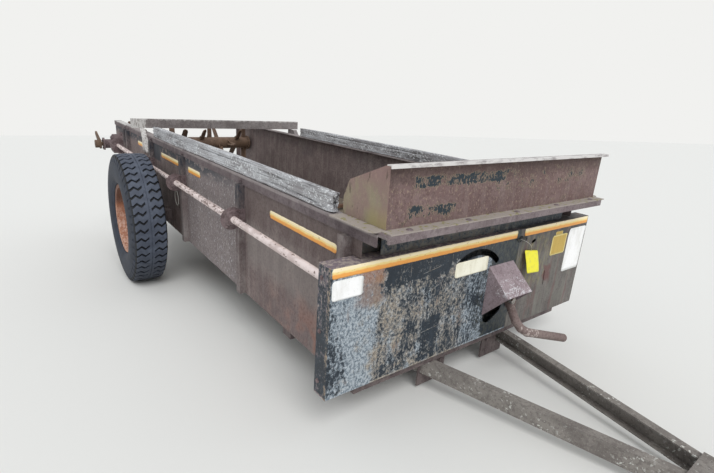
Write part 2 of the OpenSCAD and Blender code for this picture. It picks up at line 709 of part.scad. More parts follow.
sill(RIGHT);  // sill_right
sill(LEFT);  // sill_left
floor_crossmembers();
floor_boards();
apron_chains();
apron_slats();
apron_shafts();
side_panel(RIGHT);  // side_panel_right
side_panel(LEFT);  // side_panel_left
stakes(RIGHT);  // stakes_right
stakes(LEFT);  // stakes_left
top_rail(RIGHT);  // top_rail_right
top_rail(LEFT);  // top_rail_left
plank(RIGHT);  // plank_right
plank(LEFT);  // plank_left
rear_arch();
beater_plate(RIGHT);  // beater_plate_right
beater_plate(LEFT);  // beater_plate_left
bulkhead();
front_top_strip();
front_beam_upper();
front_beam_lower();
front_hood();
cover_main();
cover_side();
cover_backs();
pto_shield();
pto_stub();
pto_bearing();
pto_rest_arm();
drawbar_rail(RIGHT);  // drawbar_rail_right
drawbar_rail(LEFT);  // drawbar_rail_left
drawbar_brackets();
drawbar_crossbeam();
hitch_clevis();
axle_beam();
tyre(RIGHT);  // tyre_right
rim(RIGHT);  // rim_right
hub(RIGHT);  // hub_right
tyre(LEFT);  // tyre_left
rim(LEFT);  // rim_left
hub(LEFT);  // hub_left
side_shaft();
shaft_bearings();
beater_gearbox();
beater_bearing();
beater_shaft();
beater_paddles();
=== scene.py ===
# %% [markdown]
# # A weathered manure spreader
#
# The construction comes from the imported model: sills, panels, apron, beater, wheels and drawbar are
# already there at their real size. This lesson gives every surface its finish and adds what is too
# fine for the construction: the tyres' tread, the split planks, the worn stripes, the blank labels
# and tag, the bolts and the lichen. Everything is in metres, in the model's own frame: +Z up, the
# hitch towards -Y, the machine's right side at -X.

# %% Load the frame
import json
import math
from functools import partial, reduce

import bpy
import numpy as np
from mathutils import Matrix


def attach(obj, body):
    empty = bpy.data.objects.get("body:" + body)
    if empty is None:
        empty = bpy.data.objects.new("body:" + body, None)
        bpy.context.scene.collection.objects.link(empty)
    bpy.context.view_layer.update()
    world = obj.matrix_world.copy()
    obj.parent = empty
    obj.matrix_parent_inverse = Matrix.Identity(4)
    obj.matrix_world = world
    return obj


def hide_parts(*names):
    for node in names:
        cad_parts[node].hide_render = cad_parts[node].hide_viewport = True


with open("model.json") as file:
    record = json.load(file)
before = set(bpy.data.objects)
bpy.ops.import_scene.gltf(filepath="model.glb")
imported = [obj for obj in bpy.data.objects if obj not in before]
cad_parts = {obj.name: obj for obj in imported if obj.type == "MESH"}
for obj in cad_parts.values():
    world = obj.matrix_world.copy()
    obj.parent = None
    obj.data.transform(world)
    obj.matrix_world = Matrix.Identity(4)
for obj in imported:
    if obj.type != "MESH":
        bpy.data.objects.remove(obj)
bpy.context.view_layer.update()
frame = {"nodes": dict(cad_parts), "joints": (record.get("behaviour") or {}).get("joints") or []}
nodes = frame["nodes"]

# %% [markdown]
# ## The body's own frame
#
# The machine is parked with its drawbar on the ground, so its whole body is tipped five degrees
# nose-down about the axle. It is easier to measure square to the load floor. The body frame has X
# across the machine, Y back from the face of the front cover and Z up from the floor frame. One
# function takes points from there to the world and another takes them back. Every new piece is
# drawn through the first, apart from the tyres, which are round about the axle.

# %% From the body frame to the world and back
PITCH = math.radians(5.0)
AXLE_BACK, AXLE_UP = 2.640, 0.082

joint_place = {joint["name"]: np.array(joint["pos_m"]) for joint in frame["joints"]}
axle = joint_place["wheel_right_spin"] * (0, 1, 1)


def about_x(vectors, angle):
    """Turns vectors about X: y' = y cos - z sin, z' = y sin + z cos."""
    x, y, z = np.moveaxis(np.asarray(vectors, float), -1, 0)
    return np.stack([x, y * math.cos(angle) - z * math.sin(angle),
                     y * math.sin(angle) + z * math.cos(angle)], axis=-1)


def on_body(points):
    """Body frame to world: the axle goes to zero, the body is tipped, and the axle goes to its place."""
    return about_x(np.asarray(points, float) - (0.0, AXLE_BACK, AXLE_UP), PITCH) + axle


def to_body(points):
    """World to body frame, the other way round."""
    return about_x(np.asarray(points, float) - axle, -PITCH) + (0.0, AXLE_BACK, AXLE_UP)


print("foot of the cover stands", np.round(on_body((0, 0, 0)), 3))

# %% [markdown]
# ## Camera
#
# The photograph was taken with a wide lens from the front right corner, a little above the box.
# The camera is given in the body frame too, as a place and three turns: how far it looks round to
# the left of the machine, how far down, and how far it leans.

# %% Camera
PHOTO_WIDTH = 714
FOCAL_LENGTH = 447.55
SENSOR = 36.0
CAMERA_PLACE = (-1.7474, -1.2052, 1.1441)
LOOK_ROUND, LOOK_DOWN, LEAN = 0.6623, 0.3065, -0.0676

forward = np.array([math.sin(LOOK_ROUND) * math.cos(LOOK_DOWN),
                    math.cos(LOOK_ROUND) * math.cos(LOOK_DOWN), -math.sin(LOOK_DOWN)])
level_right = np.array([math.cos(LOOK_ROUND), -math.sin(LOOK_ROUND), 0.0])
level_down = np.cross(forward, level_right)
picture_right = level_right * math.cos(LEAN) + level_down * math.sin(LEAN)
picture_down = level_down * math.cos(LEAN) - level_right * math.sin(LEAN)

camera_data = bpy.data.cameras.new("camera")
camera_data.sensor_width = SENSOR
camera_data.lens = FOCAL_LENGTH / PHOTO_WIDTH * SENSOR
camera_data.clip_start, camera_data.clip_end = 0.05, 200.0
camera = bpy.data.objects.new("camera", camera_data)
axes = about_x([picture_right, -picture_down, -forward], PITCH).T
camera.matrix_world = Matrix.Translation(on_body(CAMERA_PLACE)) @ Matrix(axes).to_4x4()
bpy.context.scene.collection.objects.link(camera)
bpy.context.scene.camera = camera
print("camera at", np.round(on_body(CAMERA_PLACE), 3), "lens", round(camera_data.lens, 2), "mm")

# %% [markdown]
# ## Nodes and colours
#
# A finish is a tree of shader nodes. One small function adds a node with all that goes into it:
# properties, numbers, colours and the outputs of other nodes. Colours are written as sRGB hex values,
# as a paint chart gives them, and one function turns them into the linear light that the renderer
# works in. Every socket knows the tree it is in, so a tree hardly has to be named after its start.

# %% Helpers for finishes
def linear(hex_colour):
    """sRGB hex to linear RGBA: each channel over 255, then the sRGB curve is undone."""
    channel = np.array([int(hex_colour[i:i + 2], 16) for i in (1, 3, 5)]) / 255
    undone = np.where(channel <= 0.04045, channel / 12.92, ((channel + 0.055) / 1.055) ** 2.4)
    return (*undone, 1.0)


def add(tree, kind, given=None):
    """Adds a node. What is given is a property's value, or for a socket a number, a hex colour or
    another node's output."""
    made = tree.nodes.new(kind)
    for key, value in (given or {}).items():
        if isinstance(value, bpy.types.NodeSocket):
            tree.links.new(value, made.inputs[key])
        elif isinstance(key, str) and hasattr(made, key):
            setattr(made, key, value)
        else:
            made.inputs[key].default_value = linear(value) if isinstance(value, str) else value
    return made


def tree_of(*values):
    """The tree of the first socket among the values."""
    return next(value.id_data for value in values if isinstance(value, bpy.types.NodeSocket))


def feed(shader, socket, source):
    """Links a source to one of the shader's sockets."""
    shader.id_data.links.new(source, shader.inputs[socket])


def new_finish(name, roughness, metallic=0.0):
    """A finish with one Principled shader; returns the material and the shader."""
    material = bpy.data.materials.new(name)
    material.use_nodes = True
    tree = material.node_tree
    tree.nodes.clear()
    shader = add(tree, "ShaderNodeBsdfPrincipled", {"Roughness": roughness, "Metallic": metallic})
    add(tree, "ShaderNodeOutputMaterial", {"Surface": shader.outputs[0]})
    return material, shader


# %% [markdown]
# ## Floor and light
#
# A plain pale floor and soft studio light from above, so that each colour shows about as it is
# written. The background is pale through the world's colour for camera, glossy and transmitted
# rays only, and not through more light on the machine.

# %% Floor, world and lamps
FLOOR_HALF = 60.0
BACKGROUND = "#f1f1ef"

floor_mesh = bpy.data.meshes.new("floor")
corners = [(x * FLOOR_HALF, y * FLOOR_HALF, 0.0) for x, y in ((-1, -1), (1, -1), (1, 1), (-1, 1))]
floor_mesh.from_pydata(corners, [], [(0, 1, 2, 3)])
floor = bpy.data.objects.new("floor", floor_mesh)
bpy.context.scene.collection.objects.link(floor)
floor_finish, shader = new_finish("matt_studio_floor", 0.95)
shader.inputs["Base Color"].default_value = linear("#e6e6e3")
shader.inputs["Specular IOR Level"].default_value = 0.1
floor_mesh.materials.append(floor_finish)

world = bpy.data.worlds.new("studio")
world.use_nodes = True
bpy.context.scene.world = world
tree = world.node_tree
tree.nodes.clear()
rays = add(tree, "ShaderNodeLightPath")
camera_or_gloss = add(tree, "ShaderNodeMath", {
    "operation": "MAXIMUM", 0: rays.outputs["Is Camera Ray"], 1: rays.outputs["Is Glossy Ray"]})
seen = add(tree, "ShaderNodeMath", {
    "operation": "MAXIMUM", 0: camera_or_gloss.outputs[0], 1: rays.outputs["Is Transmission Ray"]})
sky = add(tree, "ShaderNodeBackground", {"Color": "#eceef0", "Strength": 0.85})
backdrop = add(tree, "ShaderNodeBackground", {"Color": BACKGROUND, "Strength": 1.0})
chosen = add(tree, "ShaderNodeMixShader", {0: seen.outputs[0], 1: sky.outputs[0], 2: backdrop.outputs[0]})
add(tree, "ShaderNodeOutputWorld", {"Surface": chosen.outputs[0]})

key_data = bpy.data.lights.new("key", "SUN")
key_data.energy = 1.5
key_data.angle = math.radians(35)
key = bpy.data.objects.new("key", key_data)
key.rotation_euler = [math.radians(turn) for turn in (42, -18, 0)]
bpy.context.scene.collection.objects.link(key)
bpy.context.scene.view_settings.view_transform = "Standard"
print("floor, world and key lamp made")

# %% [markdown]
# ## Patterns that all finishes share
#
# Rust, flaked paint and lichen are blotches of different sizes. Each is a noise whose grain is
# given in metres, with a smooth step at the level that leaves the wanted share covered. The
# patterns are laid out in the body frame: Object coordinates, turned back by the nose-down angle,
# so that rain streaks run square to the box and a stripe's place can be written as it is measured.

# %% Sums on masks
def maths(operation, a, b=0.0):
    """One sum on two values, each a socket or a number."""
    return add(tree_of(a, b), "ShaderNodeMath", {"operation": operation, 0: a, 1: b}).outputs[0]


def times(*factors):
    """Product of masks and numbers."""
    return reduce(partial(maths, "MULTIPLY"), factors)


def plus(*terms):
    """Sum of masks and numbers."""
    return reduce(partial(maths, "ADD"), terms)


def either(*masks):
    """Where any of the masks is: the highest of them."""
    return reduce(partial(maths, "MAXIMUM"), masks)


def vector_maths(operation, a, b=None):
    """One sum on two vectors; returns the node, because some sums give a number."""
    given = {"operation": operation, 0: a}
    if b is not None:
        given[1] = b
    return add(tree_of(a, b), "ShaderNodeVectorMath", given)


def step(value, low, high):
    """0 below low, 1 above high, a smooth step between; low above high turns it round."""
    return add(value.id_data, "ShaderNodeMapRange", {
        "interpolation_type": "SMOOTHSTEP", "Value": value, "From Min": low, "From Max": high}).outputs[0]


def over(mask, top, bottom):
    """Colour top where the mask is 1 and bottom where it is 0; each is a hex colour or a socket."""
    tree = tree_of(mask, top, bottom)
    return add(tree, "ShaderNodeMix", {"data_type": "RGBA", 0: mask, 6: bottom, 7: top}).outputs[2]


def tinted(mask, share, top, bottom):
    """Colour top laid over bottom where the mask is, only as strongly as the share says."""
    return over(times(mask, share), top, bottom)


# %% Places in the body frame
def body_place(shader):
    """Object coordinates in the body frame: the world's turned back and shifted to the cover's foot."""
    source = add(shader.id_data, "ShaderNodeTexCoord")
    turn_back = np.array([[1, 0, 0], [0, math.cos(PITCH), math.sin(PITCH)],
                          [0, -math.sin(PITCH), math.cos(PITCH)]])
    shift = np.array([0.0, AXLE_BACK, AXLE_UP]) - turn_back @ axle
    return add(shader.id_data, "ShaderNodeMapping", {
        "Vector": source.outputs["Object"], "Rotation": (-PITCH, 0, 0), "Location": tuple(shift)}).outputs[0]


def along(axis, place, low, high):
    """Smooth step from 0 to 1 along one axis of the body frame, from low to high in metres."""
    return step(add(place.id_data, "ShaderNodeSeparateXYZ", {0: place}).outputs[axis], low, high)


in_x, in_y, in_z = (partial(along, axis) for axis in range(3))

# Steps up to a surface: from a little inside it to just short of it
PANEL_SKIN = (0.755, 0.7585)
RETURN_SKIN = (-0.9095, -0.9115)
COVER_TOP = (0.5505, 0.5525)
HOOD_SKIN = (-0.0605, -0.0635)


def outer_face(place, inner, outer):
    """0 up to the inner distance from the machine's middle, 1 from the outer one, on both sides."""
    across = add(place.id_data, "ShaderNodeSeparateXYZ", {0: place}).outputs[0]
    return step(maths("ABSOLUTE", across), inner, outer)


def patch(place, x0, x1, z0, z1, soft=0.03):
    """1 inside a rectangle seen from the front, fading to 0 over the soft width outside it."""
    across = times(in_x(place, x0 - soft, x0), in_x(place, x1 + soft, x1))
    return times(across, times(in_z(place, z0 - soft, z0), in_z(place, z1 + soft, z1)))


# %% Blotches and grain
def noise(place, size, detail=5.0, rough=0.6):
    """A noise node whose lumps measure about size metres."""
    return add(place.id_data, "ShaderNodeTexNoise", {
        "Vector": place, "Scale": 0.5 / size, "Detail": detail, "Roughness": rough})


def grain(place, size, stretch=(1, 1, 1), detail=5.0, rough=0.6):
    """Noise from 0 to 1 with lumps of about size metres; stretch above 1 draws them out along an axis."""
    if stretch != (1, 1, 1):
        place = vector_maths("MULTIPLY", place, tuple(1 / s for s in stretch)).outputs[0]
    return noise(place, size, detail, rough).outputs[0]


def blotches(place, size, share, soft=0.03, stretch=(1, 1, 1), detail=5.0, rough=0.6):
    """Mask of blotches about size metres across that cover the given share of the surface."""
    level = 0.5 + 0.36 * (0.5 - share)
    return step(grain(place, size, stretch, detail, rough), level - soft, level + soft)


def wobbled(place, size, reach):
    """The place moved about by a noise with lumps of the given size, so that what is laid out on it
    gets ragged edges: place + 3 x reach x (noise - 0.5)."""
    centred = vector_maths("SUBTRACT", noise(place, size, 4.0).outputs["Color"], (0.5, 0.5, 0.5)).outputs[0]
    moved = add(place.id_data, "ShaderNodeVectorMath", {
        "operation": "MULTIPLY_ADD", 0: centred, 1: (3 * reach,) * 3, 2: place})
    return moved.outputs[0]


def relief(shader, height, depth):
    """Bump of the given depth in metres on the shader."""
    bump = add(shader.id_data, "ShaderNodeBump", {"Distance": depth, "Strength": 1.0, "Height": height})
    feed(shader, "Normal", bump.outputs[0])


# %% [markdown]
# ## Rusted sheet
#
# Mild steel that lost its paint decades ago. The rust is a purple brown, cloudy at arm's length,
# spotted close up, and rain draws pale streaks down it. Thick rust is rough, so there is almost
# no gloss. Most of the machine has this finish, and each part has tones of its own.

# %% Rusted steel finishes
def rust_skin(place, dark, middle, light, streaks=0.35):
    """Rust colour at five scales: 0.3 m clouds, 50 mm blotches, 7 mm spots, 3 mm pits and long rain
    streaks."""
    clouds = step(grain(place, 0.30, detail=3.0), 0.65, 0.35)
    colour = tinted(clouds, 0.5, dark, middle)
    patches = blotches(place, 0.05, 0.45, soft=0.12)
    colour = tinted(patches, 0.5, light, colour)
    spots = blotches(place, 0.007, 0.36, soft=0.05)
    colour = tinted(spots, 0.55, dark, colour)
    pits = blotches(place, 0.003, 0.22, soft=0.04)
    colour = tinted(pits, 0.5, light, colour)
    rain = blotches(place, 0.022, 0.35, soft=0.10, stretch=(1, 1, 10))
    return tinted(rain, streaks, "#a89f99", colour)


def rusted(name, dark, middle, light, streaks=0.35, depth=0.0012, cover=None):
    """A rusted steel finish from its three rust tones; cover may lay more colours over the rust."""
    material, shader = new_finish(name, 0.82)
    place = body_place(shader)
    colour = rust_skin(place, dark, middle, light, streaks)
    if cover:
        colour = cover(place, colour)
    feed(shader, "Base Color", colour)
    relief(shader, grain(place, 0.006, detail=8.0, rough=0.7), depth)
    return material


def side_cover(place, rust):
    """What is left on the side panels: blue-black paint in a band under the rail, a dark blue-black block
    beside the fourth stake, pale specks and a grey bloom between the second and third stakes. The
    front bay is darkened on top by painted shade and dusty in the middle, with orange rust low down."""
    outside = outer_face(place, *PANEL_SKIN)
    band = times(in_z(place, 0.535, 0.60), in_y(place, 0.9, 1.9))
    scraps = times(blotches(place, 0.02, 0.62, soft=0.03, stretch=(1, 2, 1)), band)
    # a dark blue-black block beside the fourth stake, laid on in the paint's colour
    block = times(in_z(place, 0.48, 0.50), in_y(place, 2.84, 2.87), in_y(place, 3.10, 3.07))
    paint = times(either(scraps, block), outside)
    bloom = times(in_y(place, 1.05, 1.25), in_y(place, 2.30, 2.05), outside)
    colour = tinted(bloom, 0.35, "#858284", rust)
    pits = blotches(place, 0.005, 0.30, soft=0.03, stretch=(1, 1, 2))
    colour = tinted(pits, 0.45, "#4d4240", colour)
    specks = times(blotches(place, 0.0035, 0.18, soft=0.03, stretch=(1, 1, 2.5)), bloom)
    colour = tinted(specks, 0.65, "#cfcfd1", colour)
    front_bay = times(in_y(place, 1.10, 1.05), outside)
    ragged = wobbled(place, 0.06, 0.05)
    # painted shade: the top of the front bay is darkened
    shade = times(front_bay, in_z(ragged, 0.40, 0.56))
    colour = tinted(shade, 0.5, "#4c403d", colour)
    dusty = times(front_bay, patch(ragged, -1.0, 1.0, 0.24, 0.38, 0.10))
    colour = tinted(dusty, 0.4, "#8b8682", colour)
    low = times(in_z(place, 0.34, 0.02), in_y(place, 1.1, 0.2))
    orange = times(blotches(place, 0.05, 0.45, soft=0.12), low)
    colour = tinted(orange, 0.6, "#8c5b49", colour)
    return tinted(paint, 0.85, "#2f3740", colour)


def stake_cover(place, rust):
    """The stakes' upper halves still have scraps of dark blue paint, apart from the first stake, and
    their feet are scoured grey."""
    kept = plus(times(in_z(place, 0.26, 0.62), in_y(place, 0.5, 0.7)),
                times(grain(place, 0.010, (1, 1, 2.5), 6.0, 0.75), 1.6))
    colour = tinted(step(kept, 1.35, 1.75), 0.75, "#38353a", rust)
    colour = tinted(step(kept, 1.80, 1.88), 0.85, "#262e38", colour)
    scoured = times(blotches(place, 0.03, 0.5, soft=0.1, stretch=(1, 1, 4)), in_z(place, 0.32, 0.12))
    return tinted(scoured, 0.4, "#8f8a88", colour)


def rail_cover(place, rust):
    """Bird lime and worn zinc on the rails' upper faces behind the arch, and a paler band along the upper
    edge.
    """
    edge = times(in_z(place, 0.664, 0.670), blotches(place, 0.03, 0.75, soft=0.1, stretch=(1, 3, 1)))
    rust = tinted(edge, 0.6, "#a39b99", rust)
    top = times(in_z(place, 0.672, 0.677), in_y(place, 3.9, 4.3))
    pale = times(blotches(place, 0.02, 0.7, soft=0.08, stretch=(1, 3, 1)), top)
    return tinted(pale, 0.8, "#d0cfcd", rust)


def arch_cover(place, rust):
    """The arch: a pale bleached top, and a whitish right end with its plate and post edge."""
    top = times(in_z(place, 0.770, 0.803), 0.5)
    end = times(in_x(place, -0.70, -0.79), in_z(place, 0.44, 0.62))
    flaky = plus(times(grain(place, 0.012, (1, 2, 1)), 0.8), either(top, end))
    pale = over(blotches(place, 0.006, 0.35, soft=0.08, stretch=(1, 1, 3)), "#9b9691", "#cfcdca")
    return tinted(step(flaky, 0.76, 1.04), 0.85, pale, rust)


def rim_cover(place, rust):
    """The rims are painted dark brown above the hub as shade from the tyre, and bleached pale in streaks
    below it.
    """
    height = plus(times(grain(place, 0.03), 0.2), in_z(place, -0.15, 0.30))
    # painted shade: the rim's upper part goes dark brown, as in the tyre's shadow
    colour = tinted(step(height, 0.75, 0.95), 0.7, "#4b3833", rust)
    pale = times(blotches(place, 0.008, 0.40, soft=0.06, stretch=(1, 1, 2)), in_z(place, 0.16, -0.04))
    return tinted(pale, 0.7, "#dcc2b4", colour)


def lichen_specks(place, rust):
    """Small white crusts of lichen on bars that lie in the grass."""
    crust = times(blotches(place, 0.008, 0.22, soft=0.02), blotches(place, 0.12, 0.45, soft=0.08))
    return over(crust, "#cfd0ca", rust)


def shield_cover(place, rust):
    """White flakes of old paint, thick along the front edge of the shield's top and thin behind."""
    front = times(in_y(place, -0.02, -0.125), in_z(place, 0.26, 0.28))
    fine = grain(place, 0.0035, detail=6.0, rough=0.7)
    level = plus(fine, times(grain(place, 0.02), 0.5))
    flakes = step(plus(level, times(front, 0.14)), 0.90, 0.95)
    return tinted(flakes, 0.8, "#d9d8dc", rust)


def pipe_cover(place, rust):
    """Pale wear on the outside of the pipe's bend."""
    bend = times(in_y(place, -0.165, -0.20), in_x(place, 0.24, 0.17))
    worn = step(plus(grain(place, 0.008), times(bend, 0.14)), 0.62, 0.68)
    return tinted(worn, 0.7, "#c2b6b0", rust)


def sheet_smears(place, rust):
    """The cover's left sheet: green grey, olive and red brown smears that run down it, a dark top and
    a red blotch round the split."""
    ragged = wobbled(place, 0.03, 0.03)
    green = blotches(place, 0.030, 0.45, soft=0.10, stretch=(1, 1, 3), rough=0.7)
    colour = tinted(green, 0.45, "#7f7e76", rust)
    olive = times(blotches(place, 0.012, 0.4, soft=0.08, stretch=(1, 1, 3)),
                  patch(ragged, 0.28, 0.50, 0.26, 0.46, 0.08))
    colour = tinted(olive, 0.55, "#8f8763", colour)
    red = blotches(place, 0.018, 0.28, soft=0.06, stretch=(1, 1, 7))
    colour = tinted(red, 0.55, "#6e5250", colour)
    dark = blotches(place, 0.010, 0.18, soft=0.04, stretch=(1, 1, 5))
    colour = tinted(dark, 0.5, "#45464a", colour)
    blotch = patch(ragged, 0.535, 0.582, 0.215, 0.290, 0.02)
    colour = tinted(blotch, 0.7, "#6a4543", colour)
    top = times(blotches(place, 0.03, 0.5, soft=0.06, stretch=(1, 1, 3)), in_z(place, 0.38, 0.52))
    return tinted(top, 0.65, "#3f4448", colour)


def hood_cover(place, rust):
    """The raised hood: a painted shadow below its lip over some dark paint, dark paint left in flakes high
    and low on its front, ochre specks, a whitish lip and foot flange, and olive and yellow lichen on the
    right gusset and along the foot."""
    specks = blotches(place, 0.004, 0.24, soft=0.03, stretch=(1, 1, 2))
    colour = tinted(specks, 0.55, "#a08d7b", rust)
    # painted shadow of the lip, with some dark paint, on the top band of the hood's front
    lip_shadow_and_paint = times(in_z(wobbled(place, 0.03, 0.02), 0.825, 0.875), in_y(place, *HOOD_SKIN))
    colour = tinted(lip_shadow_and_paint, 0.45, "#40332f", colour)
    high = patch(place, -0.60, -0.06, 0.842, 0.868, 0.02)
    low = patch(place, -0.63, -0.38, 0.728, 0.756, 0.02)
    thin = times(patch(place, -0.10, 0.62, 0.80, 0.865, 0.03), 0.45)
    zone = either(thin, high, times(low, 0.85))
    level = plus(times(grain(place, 0.004, (1, 1, 2.2), 6.0, 0.7), 0.6),
                 times(grain(place, 0.025, (1.4, 1, 1)), 0.5), times(zone, 0.15))
    face = in_y(place, *HOOD_SKIN)
    fringe = times(step(level, 0.625, 0.66), face)
    colour = tinted(fringe, 0.6, "#9a8b73", colour)
    flakes = times(step(level, 0.66, 0.69), face)
    colour = over(flakes, "#27323a", colour)
    side = times(in_x(place, -0.7305, -0.7318), in_z(place, 0.691, 0.693))
    olive = over(blotches(place, 0.03, 0.42, soft=0.12, stretch=(1, 1, 2)), "#9a9278", "#968177")
    olive = over(in_z(wobbled(place, 0.04, 0.03), 0.80, 0.89), "#957b75", olive)
    colour = tinted(side, 0.70, olive, colour)
    dark = blotches(place, 0.010, 0.16, soft=0.04, stretch=(1, 1, 3))
    colour = tinted(times(side, dark), 0.6, "#4e4338", colour)
    yellow = times(in_y(place, 0.07, 0.01), side, in_z(place, 0.79, 0.70))
    colour = tinted(yellow, 0.45, "#a3985c", colour)
    foot = times(in_z(place, 0.692, 0.690), in_z(place, 0.685, 0.6865))
    lichen = over(blotches(place, 0.012, 0.25, soft=0.06), "#8c8a4e", "#aca59d")
    colour = tinted(foot, 0.75, lichen, colour)
    lip = times(in_z(place, 0.912, 0.916), in_y(place, -0.064, -0.068))
    bleached = over(blotches(place, 0.012, 0.3, soft=0.1, stretch=(3, 1, 1)), "#a8a3a4", "#e3e1df")
    return tinted(lip, 0.85, bleached, colour)


panel_rust = rusted("rusted_side_sheet", "#5c4e4d", "#776968", "#90837f", streaks=0.20, cover=side_cover)
rail_rust = rusted("rusted_angle_steel", "#4b4044", "#625658", "#7d7375", streaks=0.10, cover=rail_cover)
stake_rust = rusted("rusted_stake_steel", "#524645", "#6e6261", "#8c8584", streaks=0.25, cover=stake_cover)
beam_rust = rusted("rusted_beam_steel", "#574b4d", "#75686a", "#908587", streaks=0.10)
hood_rust = rusted("rusted_hood_sheet", "#574443", "#705957", "#85716f", streaks=0.10, cover=hood_cover)
shield_rust = rusted("rusted_shield_sheet", "#76666a", "#928388", "#aea0a5", streaks=0.0, cover=shield_cover)
pipe_rust = rusted("rusted_pipe", "#5b4a47", "#766663", "#93857f", streaks=0.0, cover=pipe_cover)
smeared_rust = rusted("smeared_cover_sheet", "#484442", "#635f5c", "#7c7773", streaks=0.15,
                      cover=sheet_smears)
frame_rust = rusted("rusted_frame_steel", "#40373a", "#5c5050", "#766b69", streaks=0.12)
drawbar_rust = rusted("rusted_drawbar_steel", "#625b58", "#807b76", "#9a958f", streaks=0.0,
                      cover=lichen_specks)
beater_rust = rusted("scoured_beater_steel", "#463630", "#66513f", "#80695a", streaks=0.0)
apron_rust = rusted("scoured_apron_steel", "#43332c", "#6a4d3c", "#866a55", streaks=0.0)
casting_rust = rusted("rusted_cast_iron", "#3f3232", "#69585a", "#8f8081", streaks=0.1, depth=0.002)
arch_rust = rusted("bleached_arch_steel", "#57504f", "#7f7877", "#9d9796", streaks=0.15, cover=arch_cover)
rim_rust = rusted("orange_rusted_rim", "#86553f", "#b07a5e", "#d3a892", streaks=0.0, cover=rim_cover)
print("rusted finishes made")

# %% [markdown]
# ## Flaking paint on the front cover
#
# The cover was sprayed in a blue-black enamel. Near the top and the shield it still holds; over
# the rest it has come off in flakes a few millimetres wide, down to a tan primer and grey metal,
# with brown rust beside the first label. The flakes follow a fine noise, and a list of patches with
# ragged edges says how much of the paint is left in each place.

# %% Flaking enamel
PAINT = "#18232e"
# Levels of the summed noise where the fringe starts, the paint starts and the paint is whole
FRINGE_FROM, PAINT_FROM, PAINT_WHOLE = 2.85, 3.15, 3.27
# Patches of the cover where more or less paint is left: x from and to, z from and to, how much more
PAINT_LEFT = {
    "under_stripe": (-0.635, -0.27, 0.44, 0.60, 0.50), "beside_brown": (-0.65, -0.62, 0.40, 0.60, 0.25),
    "upper_middle": (-0.49, -0.30, 0.33, 0.44, 0.18), "right_middle": (-0.40, -0.06, 0.22, 0.38, 0.17),
    "middle_band": (-0.52, -0.32, 0.11, 0.21, 0.25), "lower_column": (-0.40, -0.33, -0.10, 0.20, 0.36),
    "left_foot": (-0.62, -0.50, -0.10, 0.10, 0.22), "right_foot": (-0.30, -0.02, -0.10, 0.11, 0.17),
    "under_label": (-0.08, 0.02, 0.10, 0.24, 0.22), "beside_shield": (-0.04, 0.04, 0.22, 0.38, 0.20),
    "first_column": (-0.93, -0.84, 0.08, 0.26, 0.16), "right_edge": (-0.93, -0.90, -0.10, 0.60, 0.14),
    "round_slot": (-0.27, 0.30, 0.475, 0.60, 0.60), "behind_shield": (0.04, 0.30, -0.10, 0.60, 0.80),
    "bare_column": (-0.82, -0.70, -0.10, 0.60, -0.35), "brown_patch": (-0.78, -0.66, 0.38, 0.60, -0.30)}
# Scratches from one point to another, x and z
SCRATCHES = [(-0.444, 0.443, -0.318, 0.463), (-0.422, 0.346, -0.330, 0.373), (-0.534, 0.042, -0.402, 0.062),
             (-0.480, 0.150, -0.300, 0.168), (-0.516, 0.520, -0.511, 0.438), (-0.262, 0.525, -0.262, 0.440)]


def beside_front(place):
    """1 on the cover's top and right returns, beside the front face."""
    return either(in_z(place, *COVER_TOP), in_x(place, *RETURN_SKIN))


def scratched(place):
    """1 on the scratches: closer than a millimetre to a segment, by its lengthwise and crosswise
    distance, each a dot product with the segment's direction or its normal."""
    total = 0.0
    for x0, z0, x1, z1 in SCRATCHES:
        length = math.hypot(x1 - x0, z1 - z0)
        run = ((x1 - x0) / length, 0.0, (z1 - z0) / length)
        offset = vector_maths("SUBTRACT", place, (x0, 0.0, z0)).outputs[0]
        way = vector_maths("DOT_PRODUCT", offset, run).outputs["Value"]
        off = vector_maths("DOT_PRODUCT", offset, (-run[2], 0.0, run[0])).outputs["Value"]
        near = step(maths("ABSOLUTE", off), 0.0013, 0.0006)
        inside = times(step(way, 0.0, 0.01), step(way, length, length - 0.03))
        total = either(total, times(near, inside))
    return times(total, blotches(place, 0.01, 0.7, soft=0.06))


def cover_bare(place):
    """Blue grey metal, tan primer in ragged patches over the middle, white flecks, brown rust in
    streaks and right of the first label; the returns are purple brown."""
    fine = grain(place, 0.0055, (1, 1, 1.3), 6.0, 0.78)
    grey = over(step(fine, 0.42, 0.57), "#adb6bd", "#606c77")
    tan = over(step(fine, 0.42, 0.57), "#a59c8f", "#6d665e")
    middle = times(in_x(place, -0.80, -0.62), in_x(place, -0.02, -0.22))
    share = plus(grain(place, 0.045, (1, 1, 1.2), 6.0, 0.75), times(middle, 0.22))
    colour = over(step(share, 0.56, 0.76), tan, grey)
    flecks = blotches(place, 0.0032, 0.12, soft=0.02, stretch=(1, 1, 1.4))
    colour = tinted(flecks, 0.75, "#dde1e1", colour)
    rust = blotches(place, 0.03, 0.10, soft=0.05, stretch=(1, 1, 4))
    colour = tinted(rust, 0.6, "#7c6353", colour)
    ragged = wobbled(place, 0.03, 0.03)
    brown = times(patch(ragged, -0.755, -0.675, 0.39, 0.60, 0.05), blotches(place, 0.008, 0.85, soft=0.1))
    colour = tinted(brown, 0.68, over(in_z(ragged, 0.42, 0.49), "#98694a", "#80695d"), colour)
    returns = over(blotches(place, 0.008, 0.45, soft=0.08), "#a1958e", "#756970")
    front_edge = times(in_y(place, 0.018, 0.014), in_x(place, *RETURN_SKIN))
    beige = over(blotches(place, 0.004, 0.5, soft=0.1), "#a5957f", "#87786c")
    returns = over(front_edge, beige, returns)
    return over(beside_front(place), returns, colour)


